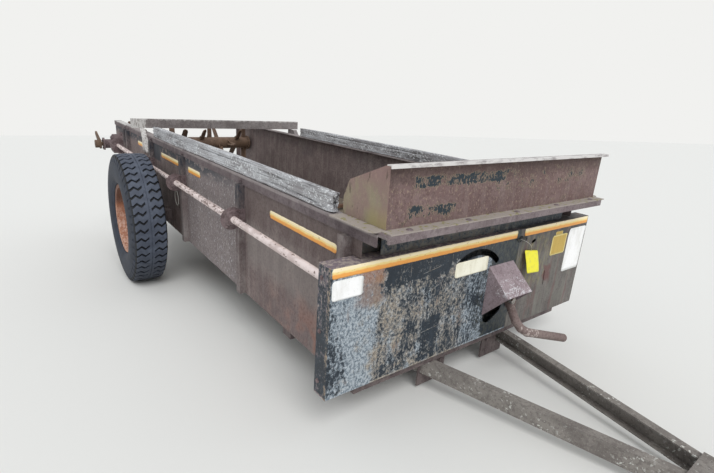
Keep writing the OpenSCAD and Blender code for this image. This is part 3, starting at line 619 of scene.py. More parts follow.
def cover_kept(place):
    """How much paint is left: a little everywhere, and more or less in the listed patches. The right
    return has kept its own, apart from its front edge; the top return has lost it."""
    ragged = wobbled(place, 0.035, 0.045)
    total = 0.03
    for x0, x1, z0, z1, more in PAINT_LEFT.values():
        total = plus(total, times(patch(ragged, x0, x1, z0, z1), more))
    on_side = times(in_x(place, *RETURN_SKIN), in_y(place, 0.014, 0.020))
    total = plus(total, times(on_side, in_z(place, 0.50, 0.44), 0.20))
    lost = either(in_z(place, *COVER_TOP), in_z(place, 0.008, 0.004))
    return plus(total, times(scratched(place), -1.0), times(lost, -1.5))


def strip_bare(place):
    """Grey brown and greenish grey below the paint of the bulkhead's top strip."""
    return over(blotches(place, 0.012, 0.5, soft=0.1, stretch=(2, 1, 1)), "#74716b", "#5f5a55")


def strip_kept(place):
    """Paint in patches as long as a hand, more of it towards the left."""
    runs = grain(place, 0.06, (1.6, 1, 0.6))
    return plus(times(maths("SUBTRACT", runs, 0.5), 2.2), times(in_x(place, -0.5, 0.7), 0.5))


def flaking(name, bare, kept, depth=0.0006):
    """Enamel over a bare colour. Bare and kept are functions of the place that give the colour below
    and how much paint is left; a thin grey fringe of half-gone paint lies between."""
    material, shader = new_finish(name, 0.7)
    place = body_place(shader)
    fine = grain(place, 0.0060, stretch=(1, 1, 1.4), detail=6.0, rough=0.78)
    level = plus(kept(place), times(fine, 3.6))
    for size, weight in ((0.014, 1.3), (0.045, 1.0)):
        level = plus(level, times(grain(place, size, (1, 1, 2.2), 4.0), weight))
    mask = step(level, PAINT_FROM, PAINT_WHOLE)
    fringe = step(level, FRINGE_FROM, PAINT_FROM)
    paint = over(blotches(place, 0.02, 0.4, soft=0.12), "#25313d", PAINT)
    behind_shield = patch(wobbled(place, 0.04, 0.03), -0.02, 0.30, 0.0, 0.60, 0.06)
    greenish = times(behind_shield, step(grain(place, 0.008, (1, 1, 2), 6.0, 0.7), 0.42, 0.60))
    paint = tinted(greenish, 0.75, "#464942", paint)
    paint = tinted(blotches(place, 0.0028, 0.06, soft=0.02), 0.6, "#8c8377", paint)
    below = tinted(fringe, 0.65, "#56616b", bare(place))
    feed(shader, "Base Color", over(mask, paint, below))
    feed(shader, "Roughness", maths("SUBTRACT", 0.85, times(mask, 0.35)))
    relief(shader, plus(mask, fine), depth)
    return material


cover_paint = flaking("flaking_blue_black_enamel", cover_bare, cover_kept)
strip_paint = flaking("worn_blue_black_enamel", strip_bare, strip_kept)
print("flaking finishes made")

# %% [markdown]
# ## Timber
#
# The planks on the rails are softwood, silver grey after years of weather. The soft early wood has
# worn back and the hard late wood stands as ridges 3 to 6 mm apart along the board, with dark
# splits between and white lichen on top.

# %% Weathered timber finishes
def timber(name, dark, middle, light, lichen):
    """Grey timber whose grain runs along Y: fine ridges, long splits and a share of pale lichen."""
    material, shader = new_finish(name, 0.9)
    place = body_place(shader)
    ridges = grain(place, 0.0028, stretch=(1, 60, 1), detail=4.0)
    splits = blotches(place, 0.006, 0.20, soft=0.03, stretch=(1, 45, 1), detail=3.0)
    colour = over(step(ridges, 0.35, 0.65), light, middle)
    colour = over(step(grain(place, 0.12, (1, 4, 1)), 0.35, 0.65), colour, middle)
    colour = tinted(splits, 0.8, dark, colour)
    bleached = blotches(place, 0.030, 0.40, soft=0.06, stretch=(1, 2.5, 1))
    colour = tinted(bleached, 0.5, light, colour)
    crust = times(blotches(place, 0.0055, lichen, soft=0.02, stretch=(1, 1.6, 1)),
                  blotches(place, 0.05, 0.65, soft=0.08, stretch=(1, 2, 1)))
    feed(shader, "Base Color", over(crust, "#dee0e2", colour))
    relief(shader, plus(ridges, times(splits, -0.8), times(crust, 0.5)), 0.004)
    return material


plank_wood = timber("weathered_grey_timber", "#403c3d", "#908d8f", "#cccfd3", lichen=0.36)
floor_wood = timber("stained_floor_boards", "#3f3832", "#6c6256", "#8b8172", lichen=0.05)
print("timber finishes made")

# %% [markdown]
# ## Rubber, rims and shafts
#
# Old tyre rubber is a blue grey with dust in it. The rims were painted orange and have gone to an
# orange rust. The drive shaft still has a chalky coat, pinkish where the sun has been, which has
# sprung off in small patches.

# %% Rubber, rim and shaft finishes
def tyre_finish():
    """Aged rubber: blue grey dust on the tread's faces, painted shade almost black in its grooves and over
    the lower tread, and a dull dark skin on the walls. What counts is the distance from the axle."""
    material, shader = new_finish("aged_tyre_rubber", 0.72)
    place = body_place(shader)
    from_axle = vector_maths("SUBTRACT", place, (0.0, AXLE_BACK, AXLE_UP)).outputs[0]
    flat = vector_maths("MULTIPLY", from_axle, (0.0, 1.0, 1.0)).outputs[0]
    radius = vector_maths("LENGTH", flat).outputs["Value"]
    dust = times(blotches(place, 0.03, 0.45, soft=0.12), 0.4)
    wall = over(dust, "#353d4d", "#222834")
    # painted shade: the grooves' walls and floors are almost black
    groove = over(step(radius, 0.478, 0.486), "#13161c", wall)
    face = over(plus(dust, 0.2), "#5a6271", "#3a404e")
    # painted shade: the tread darkens towards the bottom of the tyre
    face = tinted(in_z(place, 0.0, -0.36), 0.6, "#2a2e37", face)
    colour = over(step(radius, 0.4985, 0.5035), face, groove)
    feed(shader, "Base Color", colour)
    relief(shader, grain(place, 0.002, detail=4.0), 0.0004)
    return material


def chalky(name, coat, bare, worn, size):
    """A chalked coat with sprung-off patches of the given size that show what is below."""
    material, shader = new_finish(name, 0.75)
    place = body_place(shader)
    off = blotches(place, size, worn, soft=0.02, stretch=(1, 1.5, 1))
    behind = times(blotches(place, size * 0.6, 0.36, soft=0.05, stretch=(1, 2.2, 1)), in_y(place, 0.7, 1.3))
    off = either(off, behind)
    dirt = blotches(place, size * 2, 0.5, soft=0.12, stretch=(1, 2, 1))
    coat = tinted(dirt, 0.6, "#b09e99", coat)
    feed(shader, "Base Color", over(off, bare, coat))
    relief(shader, maths("SUBTRACT", 1.0, off), 0.0008)
    return material


tyre_rubber = tyre_finish()
shaft_coat = chalky("chalky_shaft_paint", "#e6d8d5", "#77635d", 0.15, 0.010)
hub_rust = rusted("rusted_hub_iron", "#4a352b", "#6f5142", "#8c6c58", streaks=0.0)


def tarnished(name, colour):
    """Bare turned steel, dull, with a brown bloom in spots."""
    material, shader = new_finish(name, 0.45, 0.9)
    place = body_place(shader)
    bloom = blotches(place, 0.006, 0.4, soft=0.08)
    feed(shader, "Base Color", over(bloom, "#6a5549", colour))
    relief(shader, bloom, 0.0003)
    return material


stub_steel = tarnished("tarnished_stub_steel", "#a3a09c")
print("rubber, rim and shaft finishes made")

# %% [markdown]
# ## Finishes of the CAD nodes
#
# Each node of the construction takes its finish from one table.

# %% Give the nodes their finishes
FINISH_OF = {
    panel_rust: ["side_panel_right", "side_panel_left", "beater_plate_right", "beater_plate_left"],
    rail_rust: ["top_rail_right", "top_rail_left"],
    stake_rust: ["stakes_right", "stakes_left"],
    beam_rust: ["front_beam_upper"],
    hood_rust: ["front_hood"],
    smeared_rust: ["cover_side", "cover_backs"],
    shield_rust: ["pto_shield"],
    pipe_rust: ["pto_rest_arm"],
    frame_rust: ["sill_right", "sill_left", "floor_crossmembers", "apron_shafts", "front_beam_lower",
                 "drawbar_brackets", "drawbar_crossbeam", "axle_beam"],
    drawbar_rust: ["drawbar_rail_right", "drawbar_rail_left", "hitch_clevis"],
    cover_paint: ["cover_main"],
    strip_paint: ["front_top_strip", "bulkhead"],
    plank_wood: ["plank_right", "plank_left"],
    floor_wood: ["floor_boards"],
    apron_rust: ["apron_chains", "apron_slats"],
    beater_rust: ["beater_shaft", "beater_paddles"],
    casting_rust: ["pto_bearing", "shaft_bearings", "beater_gearbox", "beater_bearing"],
    arch_rust: ["rear_arch"],
    shaft_coat: ["side_shaft"],
    stub_steel: ["pto_stub"],
    tyre_rubber: ["tyre_right", "tyre_left"],
    rim_rust: ["rim_right", "rim_left"],
    hub_rust: ["hub_right", "hub_left"],
}
for material, names in FINISH_OF.items():
    for name in names:
        nodes[name].data.materials.clear()
        nodes[name].data.materials.append(material)
plain = sorted(set(nodes) - {n for names in FINISH_OF.values() for n in names})
print("nodes with a finish:", len(nodes) - len(plain), "without:", plain)

# %% [markdown]
# ## Surfaces from grids
#
# Every new piece is a grid of points worked out as whole arrays. One helper turns a grid into a
# mesh: each cell of four neighbours is a face, and a closed direction joins its last line to its
# first. Another gives the piece its finish and the body it rides on.

# %% Mesh helpers
def cells(rows, columns, closed_rows, closed_columns):
    """Corner numbers of each cell of a grid, counted row by row, as an array of fours."""
    r = np.arange(rows if closed_rows else rows - 1)
    c = np.arange(columns if closed_columns else columns - 1)
    r, c = np.meshgrid(r, c, indexing="ij")
    down, right = (r + 1) % rows, (c + 1) % columns
    corners = [r * columns + c, down * columns + c, down * columns + right, r * columns + right]
    return np.stack(corners, axis=-1).reshape(-1, 4)


def mesh_piece(name, points, faces, smooth=True, uv=None):
    """A mesh object from points in the world, faces of any number of corners and, where a pattern
    follows the surface, a UV place for each point."""
    mesh = bpy.data.meshes.new(name)
    mesh.from_pydata(np.asarray(points).reshape(-1, 3).tolist(), [], [list(map(int, f)) for f in faces])
    mesh.polygons.foreach_set("use_smooth", np.full(len(mesh.polygons), smooth))
    if uv is not None:
        corner_point = np.empty(len(mesh.loops), int)
        mesh.loops.foreach_get("vertex_index", corner_point)
        mesh.uv_layers.new(name="UVMap").data.foreach_set("uv", np.asarray(uv)[corner_point].ravel())
    mesh.update()
    piece = bpy.data.objects.new(name, mesh)
    bpy.context.scene.collection.objects.link(piece)
    return piece


def outward(points, faces):
    """Faces turned so that a closed mesh has a positive volume: the sum, over the triangles that
    fan out from each face's first corner, of corner . (corner x corner)."""
    p = points.reshape(-1, 3) - points.reshape(-1, 3).mean(axis=0)
    fans = [(f[0], f[i], f[i + 1]) for f in faces for i in range(1, len(f) - 1)]
    a, b, c = p[np.array(fans).T]
    volume = np.einsum("ij,ij->i", a, np.cross(b, c)).sum()
    return faces if volume > 0 else [list(f)[::-1] for f in faces]


def shell(face, thickness, closed_rows=False):
    """A closed sheet from a grid of points on its outer face. The inner face lies the thickness
    below along the grid's normals; every edge that only one cell uses gets a face across the wall."""
    rows, columns = face.shape[:2]
    padded = np.concatenate([face[-1:], face, face[:1]]) if closed_rows else face
    down = np.gradient(padded, axis=0)
    down = down[1:-1] if closed_rows else down
    normal = np.cross(down, np.gradient(face, axis=1))
    normal /= np.linalg.norm(normal, axis=-1, keepdims=True)
    points = np.concatenate([face.reshape(-1, 3), (face - normal * thickness).reshape(-1, 3)])
    count = rows * columns
    front = cells(rows, columns, closed_rows, False)
    edges = np.concatenate([front[:, [i, (i + 1) % 4]] for i in range(4)])
    lone = edges[~np.isin(edges[:, 0] * count + edges[:, 1], edges[:, 1] * count + edges[:, 0])]
    wall = np.column_stack([lone[:, 1], lone[:, 0], lone[:, 0] + count, lone[:, 1] + count])
    return points, outward(points, np.vstack([front, front[:, ::-1] + count, wall]))


def tube(rings):
    """A closed solid from a row of rings, each a closed line of points, with a face over each end."""
    count, around = rings.shape[:2]
    sides = cells(count, around, False, True)
    ends = [list(range(around))[::-1], list(range((count - 1) * around, count * around))]
    return rings.reshape(-1, 3), outward(rings, [list(f) for f in sides] + ends)


def waves(seed, count, low, high):
    """Random waves for a height field: count rows of a frequency between low and high per metre
    along two directions, a phase and a weight. The same seed gives the same waves."""
    random = np.random.default_rng(seed)
    pace = random.uniform(low, high, (count, 2)) * random.choice([-1, 1], (count, 2))
    return pace, random.uniform(0, 2 * math.pi, count), random.uniform(0.5, 1.0, count)


def rippled(table, a, b):
    """Sum of cosines over all waves, about -1 to 1: weight x cos(2 pi (pace . place) + phase)."""
    pace, phase, weight = table
    angle = 2 * math.pi * (a[..., None] * pace[:, 0] + b[..., None] * pace[:, 1]) + phase
    return (np.cos(angle) * weight).sum(axis=-1) / np.sqrt(len(weight))


def dress(piece, material, body, stands_for=()):
    """Gives a piece its finish, the body it rides on and the nodes that it stands for."""
    piece.data.materials.append(material)
    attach(piece, body)
    if stands_for:
        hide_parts(*stands_for)
    print(piece.name, len(piece.data.polygons), "faces")
    return piece


# %% [markdown]
# ## Tyres
#
# The tyres are truck casings with a cross-bar tread: on each side of a solid middle band, zig-zag
# grooves start beside the band and run out over the shoulder. A straight grid would cut those
# grooves into steps. Here the grid itself follows them: each line of points across the tread is
# shifted round the tyre by the zig-zag, so a few lines a pitch give crisp edges.

# %% Tyres with tread
PITCHES = 50
GROOVE_DEPTH = 0.013
GROOVE_LINES = np.array([0.00, 0.06, 0.10, 0.34, 0.38, 0.60, 0.80])
GROOVE_FLOOR = np.array([0.0, 0.0, 1.0, 1.0, 0.0, 0.0, 0.0])
ZIGZAG_REACH = 0.011
ZIGZAG_LENGTH = 0.053
GROOVE_END, HALF_TREAD = 0.020, 0.098
# Half the tyre's section from the bead to the crown: across, radius, how much of the groove it takes
SECTION = np.array([
    (0.087, 0.2545, 0), (0.089, 0.274, 0), (0.106, 0.282, 0), (0.110, 0.290, 0), (0.121, 0.310, 0),
    (0.128, 0.335, 0), (0.131, 0.362, 0), (0.1305, 0.392, 0), (0.127, 0.420, 0), (0.1255, 0.424, 0),
    (0.1255, 0.430, 0), (0.122, 0.448, 0), (0.1205, 0.452, 0.8), (0.117, 0.470, 1), (0.111, 0.488, 1),
    (0.107, 0.498, 1), (0.103, 0.504, 1), (0.098, 0.506, 1)])
CROWN = np.array([(x, 0.510 - 0.004 * (x / HALF_TREAD) ** 2, 1.0) for x in
                  np.linspace(HALF_TREAD, GROOVE_END, 13)[1:]])
# The solid band in the middle, with one fine line moulded into it
CENTRE = np.array([(0.0172, 0.510, 0), (0.009, 0.510, 0), (0.0032, 0.510, 0), (0.0020, 0.506, 0),
                   (0.0, 0.506, 0)])
# How far the grooves of the inner half lag behind those of the outer half, in pitches
INNER_LAG = 0.58
WHEELS = (("wheel_right", -1), ("wheel_left", 1))
tyre_middle = abs(joint_place["wheel_right_spin"][0])


def tyre_points(side):
    """Points of a tread grid: rows go round in pitches, columns from the outer bead to the inner one.
    Angle = (pitch + line + zig-zag over the pitch) of the circle, with the zig-zag turned round on the
    inner half; radius = section less the groove's depth where both lie in a groove."""
    half = np.vstack([SECTION, CROWN, CENTRE])
    out = np.concatenate([half[:, 0], -half[-2::-1, 0]])
    radius, takes = (np.concatenate([half[:, k], half[-2::-1, k]]) for k in (1, 2))
    reach = np.clip(np.abs(out), GROOVE_END, HALF_TREAD) - GROOVE_END
    wave = np.abs((reach / ZIGZAG_LENGTH) % 1 - 0.5) * 4 - 1
    pitch_length = 2 * math.pi * radius.max() / PITCHES
    shift = ZIGZAG_REACH * wave * np.sign(out) / pitch_length + np.where(out < 0, INNER_LAG, 0.0)
    band = np.abs(out) < GROOVE_END
    beside = shift[out >= GROOVE_END][-1], shift[out <= -GROOVE_END][0]
    shift[band] = np.interp(-out[band], (-GROOVE_END, GROOVE_END), beside)
    lines = (np.arange(PITCHES)[:, None] + GROOVE_LINES[None, :]).ravel()
    angle = (lines[:, None] + shift[None, :]) * 2 * math.pi / PITCHES
    r = radius[None, :] - GROOVE_DEPTH * np.tile(GROOVE_FLOOR, PITCHES)[:, None] * takes[None, :]
    x = np.broadcast_to(side * (tyre_middle + out[None, :]), r.shape)
    return np.stack([x, axle[1] + r * np.sin(angle), axle[2] + r * np.cos(angle)], axis=-1)


for body, side in WHEELS:
    points = tyre_points(side)
    faces = outward(points, cells(points.shape[0], points.shape[1], True, True))
    node = body.replace("wheel", "tyre")
    tyre = mesh_piece(node + "_tread", points, faces, smooth=False)
    dress(tyre, tyre_rubber, body, [node])

# %% [markdown]
# ## Planks
#
# A softwood plank that has stood outside for decades is no longer a box. Its corners are rounded,
# its late wood stands proud in ridges, long splits open along the grain and the ends rot back
# unevenly. The plank is one closed tube of rounded-box sections, and a height field over the
# distance round the section and the distance along the board moves each point along the
# section's normal.

# %% Weathered planks
PANEL_OUT = 0.760
RAIL_TOP = 0.678
PLANK_HALF_WIDE, PLANK_HIGH = 0.022, 0.090
PLANK_FROM, PLANK_TO = 0.240, 3.070
SPLIT_WIDTH = 0.0035
# Splits of a plank: distance round the section, where it starts and ends along the board, depth
SPLITS = [(0.045, 0.3, 1.6, 0.006), (0.075, 1.2, 2.6, 0.008), (0.110, 0.3, 0.9, 0.009),
          (0.180, 0.5, 2.2, 0.007), (0.205, 1.8, 3.0, 0.008), (0.240, 0.26, 0.7, 0.006)]


def rounded_box(half_wide, half_high, radius, spacing):
    """Points and normals round a box with round corners: each side is stepped by the spacing and
    each corner turns a quarter circle in six steps."""
    points, normals = [], []
    for k, (sx, sz) in enumerate(((1, 1), (-1, 1), (-1, -1), (1, -1))):
        turn = np.linspace(k, k + 1, 7) * math.pi / 2
        ray = np.column_stack([np.cos(turn), np.sin(turn)])
        points.append((sx * (half_wide - radius), sz * (half_high - radius)) + radius * ray)
        normals.append(ray)
        straight = 2 * ((half_wide if k % 2 == 0 else half_high) - radius)
        steps = np.arange(1, int(straight / spacing)) * straight / int(straight / spacing)
        way = np.array([(-1, 0), (0, -1), (1, 0), (0, 1)][k])
        points.append(points[-1][-1] + steps[:, None] * way)
        normals.append(np.repeat(ray[-1:], len(steps), axis=0))
    return np.vstack(points), np.vstack(normals)


def plank_rings(middle, seed):
    """Rings of a weathered plank. Depth worn off = ridges that hardly change along the board + slow
    hollows + splits, each a narrow bell round the section that fades at both its ends."""
    section, normal = rounded_box(PLANK_HALF_WIDE, PLANK_HIGH / 2, 0.007, 0.0028)
    around = np.concatenate([[0], np.cumsum(np.linalg.norm(np.diff(section, axis=0), axis=1))])
    y = np.linspace(PLANK_FROM, PLANK_TO, 110)
    s, t = np.meshgrid(around, y, indexing="xy")
    worn = 0.0011 * (1 + rippled(waves(seed, 14, 40, 160), s, t * 0.006))
    worn += 0.0016 * (1 + rippled(waves(seed + 1, 8, 2, 14), s, t * 0.1))
    for place, start, end, depth in SPLITS:
        fade = np.clip((t - start) / 0.12, 0, 1) * np.clip((end - t) / 0.12, 0, 1)
        wander = place + 0.002 * np.sin(t * 9 + seed)
        worn += depth * fade * np.exp(-((s - wander) / SPLIT_WIDTH) ** 2)
    for end in (PLANK_FROM, PLANK_TO):
        crumbled = 1 + 0.6 * rippled(waves(seed + 2, 6, 10, 40), s, t)
        worn += 0.006 * np.exp(-np.abs(t - end) / 0.03) * crumbled
    sway = 0.002 * np.sin(y * 2.3 + seed)
    flat = section[None] - normal[None] * worn[..., None]
    rings = np.stack([middle + flat[..., 0] + sway[:, None], np.broadcast_to(t, s.shape),
                      RAIL_TOP + PLANK_HIGH / 2 + flat[..., 1]], axis=-1)
    ends = []
    for ring, inwards in ((rings[0], 1), (rings[-1], -1)):
        centre = ring.mean(axis=0)
        rot = 0.010 + 0.008 * rippled(waves(seed + 3, 8, 20, 90), around, around * 0)
        ends.append([ring * k + centre * (1 - k) + np.outer(rot * (1 - k) * inwards, (0, 1, 0))
                     for k in (0.9, 0.55, 0.2)])
    return np.concatenate([np.array(ends[0][::-1]), rings, np.array(ends[1])])


for name, side, seed in (("plank_right", -1, 11), ("plank_left", 1, 23)):
    points, faces = tube(plank_rings(side * (PANEL_OUT - PLANK_HALF_WIDE), seed))
    board = mesh_piece(name + "_weathered", on_body(points), faces)
    dress(board, plank_wood, "chassis", [name])

# %% [markdown]
# ## Stripes
#
# Both stripes are orange tape. The upper half of each is painted cream as a highlight, where the tape turns
# up over the sheet's bent edge, though the strip is drawn flat. They are modelled as the thin strips that
# they are, because their ends are torn and their edges have crept. The colour runs across the tape, so the
# finish takes it from the strip's own UV map and not from its place on the machine.

# %% Stripe tape
def own_place(shader):
    """The two outputs of a strip's or label's own UV map."""
    uv = add(shader.id_data, "ShaderNodeUVMap", {"uv_map": "UVMap"})
    return add(shader.id_data, "ShaderNodeSeparateXYZ", {0: uv.outputs[0]}).outputs


def tape_finish():
    """Vinyl tape, orange below, with a painted highlight above that goes yellow in the middle and cream on
    top, and scuffs.
    """
    material, shader = new_finish("vinyl_tape_with_painted_highlight", 0.5)
    place = body_place(shader)
    wander = plus(own_place(shader)[1], times(grain(place, 0.02), 0.3))
    # painted highlight: yellow, then cream, on the upper half of the tape
    colour = over(step(wander, 0.48, 0.68), "#f7dc90", "#f0a64f")
    colour = over(step(wander, 0.72, 0.90), "#fbecc4", colour)
    scuffs = blotches(place, 0.006, 0.10, soft=0.03, stretch=(2, 2, 1))
    colour = tinted(scuffs, 0.6, "#b98a55", colour)
    feed(shader, "Base Color", colour)
    return material


stripe_tape = tape_finish()
TAPE_THICK = 0.0008
TAPE_HIGH = 0.040


def tape_strip(name, start, end, seed, ends_eaten=(0.004, 0.004)):
    """A strip of tape from start to end, which are the middles of its ends on the body. Its edges
    creep by half a millimetre and its ends are eaten away by up to the given depths."""
    start, end = np.array(start, float), np.array(end, float)
    length = np.linalg.norm(end - start)
    run = (end - start) / length
    columns = np.linspace(-0.5, 0.5, 9)
    rows = np.linspace(0, 1, max(int(length / 0.012), 12))
    u, v = np.meshgrid(rows, columns, indexing="ij")
    table = waves(seed, 8, 4, 30)
    creep = 0.0006 * rippled(table, u * length, u * 0) * np.sign(v) * (np.abs(v) > 0.49)
    bite = np.abs(rippled(waves(seed + 1, 6, 20, 60), v * TAPE_HIGH, v * 0)) + 1.2 * np.abs(2 * v) ** 4
    place = u * length
    eaten = np.where(u < 0.5, np.exp(-place / 0.02) * ends_eaten[0] * bite,
                     -np.exp(-(length - place) / 0.02) * ends_eaten[1] * bite)
    upwards = (v * TAPE_HIGH + creep)[..., None] * np.array([0, 0, 1.0])
    points, faces = shell(start + (place + eaten)[..., None] * run + upwards, TAPE_THICK)
    uv = np.column_stack([u.ravel() * length / TAPE_HIGH, v.ravel() + 0.5])
    strip = mesh_piece(name, on_body(points), faces, uv=np.vstack([uv, uv]))
    return dress(strip, stripe_tape, "chassis")


COVER_STRIPE_UP = 0.5315
# The tape's outer face stands this far off the sheet, so that its inner one is sunk a little
TAPE_OUT = TAPE_THICK - 0.0002
for name, x0, x1, seed in (("cover_stripe_right", -0.908, 0.209, 31),
                           ("cover_stripe_left", 0.270, 0.908, 37)):
    tape_strip(name, (x1, -TAPE_OUT, COVER_STRIPE_UP), (x0, -TAPE_OUT, COVER_STRIPE_UP), seed)
# Pieces of the side stripe that are left, as distances back from the cover and heights of the middle
SIDE_STRIPE = [("front", 0.180, 0.786, 0.544), ("behind_letters", 1.835, 2.100, 0.551),
               ("rear", 2.325, 2.815, 0.555), ("last", 3.465, 3.670, 0.556)]
for name, y0, y1, up in SIDE_STRIPE:
    outer = -PANEL_OUT - TAPE_OUT
    tape_strip("side_stripe_" + name, (outer, y0, up), (outer, y1, up), int(y0 * 100), (0.010, 0.008))

# %% [markdown]
# ## Labels
#
# Two white labels, a cream one and a gold one with a tab over it are stuck to the cover. They are
# blank in this model, as bleached as the real ones, with round corners that have begun to lift. A
# label is a small sheet whose outline is a rounded rectangle, drawn as a grid that follows it.

# %% Blank labels
def label_finish(name, face, border, dirt):
    """A bleached label: the UV map gives its border, and its dirt is fine specks and long smears."""
    material, shader = new_finish(name, 0.55)
    place = body_place(shader)
    u, v = own_place(shader)[0:2]
    edge = either(maths("ABSOLUTE", u), maths("ABSOLUTE", v))
    colour = over(step(edge, 0.86, 0.90), border, face)
    specks = blotches(place, 0.004, 0.12, soft=0.03)
    colour = tinted(specks, 0.5, dirt, colour)
    smears = blotches(place, 0.03, 0.35, soft=0.10, stretch=(1, 1, 3))
    feed(shader, "Base Color", tinted(smears, 0.35, dirt, colour))
    return material


def round_cornered(half, radius):
    """A square grid pulled into a rounded rectangle by moving each point in to its corner's circle.
    Returns the grid from -1 to 1 both ways, and the places."""
    line = np.linspace(-1, 1, 15)
    u, v = np.meshgrid(line, line, indexing="ij")
    place = np.stack([u, v], axis=-1) * half
    past = np.maximum(np.abs(place) - (half - radius), 0)
    reach = np.linalg.norm(past, axis=-1, keepdims=True)
    side = np.maximum(np.abs(past).max(axis=-1, keepdims=True), 1e-9)
    pull = np.where(reach > 0, side / np.maximum(reach, 1e-9), 1)
    return u, v, (np.minimum(np.abs(place), half - radius) + past * pull) * np.sign(place)


# How far a label's outer face stands off the cover, and its thickness
LABEL_OUT, LABEL_THICK = 0.0009, 0.0007


def label(name, material, x0, x1, z0, z1, lift, seed):
    """A label on the cover's face; its corners lift off by up to the given height."""
    u, v, place = round_cornered(np.array([(x1 - x0) / 2, (z1 - z0) / 2]), min(0.012, (z1 - z0) / 3))
    corner = np.clip((np.abs(u) + np.abs(v) - 1.55) / 0.45, 0, 1) ** 2
    raised = lift * corner * (1 + np.sin(seed + 3 * u + 2 * v)) / 2
    face = np.stack([(x0 + x1) / 2 + place[..., 0], -LABEL_OUT - raised,
                     (z0 + z1) / 2 + place[..., 1]], axis=-1)
    points, faces = shell(face, LABEL_THICK)
    uv = np.column_stack([u.ravel(), v.ravel()])
    made = mesh_piece(name, on_body(points), faces, uv=np.vstack([uv, uv]))
    return dress(made, material, "chassis")


white_label = label_finish("bleached_white_label", "#fdfdfd", "#f4f5f4", "#cfcdc6")
cream_label = label_finish("yellowed_cream_label", "#fbf8e6", "#f6f1dc", "#cdc5a6")
gold_label = label_finish("faded_gold_label", "#c5a650", "#e2d189", "#96803f")
for name, material, x0, x1, z0, z1, lift in (
        ("label_right", white_label, -0.905, -0.763, 0.423, 0.503, 0.003),
        ("label_middle", cream_label, -0.235, -0.001, 0.380, 0.454, 0.002),
        ("label_gold", gold_label, 0.556, 0.706, 0.357, 0.474, 0.003),
        ("label_gold_tab", gold_label, 0.582, 0.652, 0.476, 0.494, 0.002),
        ("label_left", white_label, 0.722, 0.904, 0.231, 0.495, 0.004)):
    label(name, material, x0, x1, z0, z1, lift, len(name))

# %% [markdown]
# ## Tag and wires
#
# A plastic tag hangs from a stiff wire that comes out of the seam between the two cover sheets. The
# tag is a rounded rectangle between two corners along its top and two along its bottom, which stands
# out from the cover. It is blank. A twist of black coated wire lies at the seam, and a ring of bare
# wire hangs on the third stake.

# %% Helpers for wires
def wire_rings(path, radius, first, second, sides=8):
    """Rings round a path: path + radius x (first cos + second sin), with both directions square to it."""
    turn = (np.arange(sides) * 2 * math.pi / sides)[None, :, None]
    return path[:, None] + radius * (np.cos(turn) * first[:, None] + np.sin(turn) * second[:, None])


def along_path(path, radius):
    """A round wire along an open path. The first side points away from a fixed direction that the
    path never takes, by two cross products."""
    run = np.gradient(path, axis=0)
    run /= np.linalg.norm(run, axis=1, keepdims=True)
    first = np.cross(run, (0.31, 0.12, 0.94))
    first /= np.linalg.norm(first, axis=1, keepdims=True)
    return wire_rings(path, radius, first, np.cross(run, first))


def plastic(name, colour, roughness=0.4):
    """Moulded plastic or a coat on wire: one colour, a little dusty."""
    material, shader = new_finish(name, roughness)
    dust = blotches(body_place(shader), 0.008, 0.3, soft=0.12)
    feed(shader, "Base Color", tinted(dust, 0.2, "#8e8a80", colour))
    return material


# %% The tag on its wire
# The tag's corners along its top and along its foot
TAG_TOP = np.array([(0.275, -0.015, 0.441), (0.399, -0.015, 0.421)])
TAG_FOOT = np.array([(0.275, -0.051, 0.325), (0.386, -0.051, 0.315)])
SEAM_EXIT, TAG_HOLE = np.array([0.240, -0.001, 0.500]), np.array([0.329, -0.0165, 0.427])
WIRE_RADIUS, TAG_THICK, TAG_BULGE = 0.0009, 0.0010, 0.0015

# The tag is one unit wide and high before it is drawn out to its corners
_, _, place = round_cornered(np.array([0.5, 0.5]), 0.07)
across, down = place[..., :1] + 0.5, 0.5 - place[..., 1:]
top, foot = (row[0] * (1 - across) + row[1] * across for row in (TAG_TOP, TAG_FOOT))
tag_face = top * (1 - down) + foot * down - TAG_BULGE * np.sin(math.pi * down) * (0, 1, 0)
points, faces = shell(tag_face, TAG_THICK)
tag = mesh_piece("yellow_tag", on_body(points), faces)
dress(tag, plastic("yellow_tag_plastic", "#f2e92a"), "chassis")

t = np.linspace(0, 1, 30)[:, None]
bends = [SEAM_EXIT, SEAM_EXIT + (0.006, -0.026, 0.002), TAG_HOLE + (-0.008, -0.022, 0.040), TAG_HOLE]
wire_path = sum(weight * (1 - t) ** (3 - k) * t ** k * bends[k] for k, weight in enumerate((1, 3, 3, 1)))
points, faces = tube(along_path(wire_path, WIRE_RADIUS))
tag_wire = mesh_piece("tag_wire", on_body(points), faces)
dress(tag_wire, plastic("galvanised_wire", "#b9b6ae"), "chassis")

t = np.linspace(0, 3 * math.pi, 70)
twist = np.column_stack([0.247 + 0.034 * np.cos(t) + 0.006 * np.cos(3.1 * t),
                         -0.0050 - 0.0025 * np.sin(2.3 * t),
                         0.500 + 0.011 * np.sin(t) + 0.005 * np.sin(4.2 * t)])
points, faces = tube(along_path(twist, 0.0019))
tie_twist = mesh_piece("black_tie_twist", on_body(points), faces)
dress(tie_twist, plastic("black_wire_coat", "#15171b"), "chassis")

# %% The wire ring on the third stake
t = np.linspace(0, 2 * math.pi, 49)[:-1]
ring_path = np.column_stack([-0.7985 - 0.002 * np.cos(t), 2.292 + 0.044 * np.sin(t),
                             0.300 + 0.058 * np.cos(t)])
outwards = np.column_stack([0 * t, np.sin(t), np.cos(t)])
rings = wire_rings(ring_path, 0.0028, np.broadcast_to((-1.0, 0.0, 0.0), ring_path.shape), outwards)
faces = outward(rings, cells(len(t), rings.shape[1], True, True))
ring = mesh_piece("wire_ring", on_body(rings), faces)
dress(ring, tag_wire.data.materials[0], "chassis")

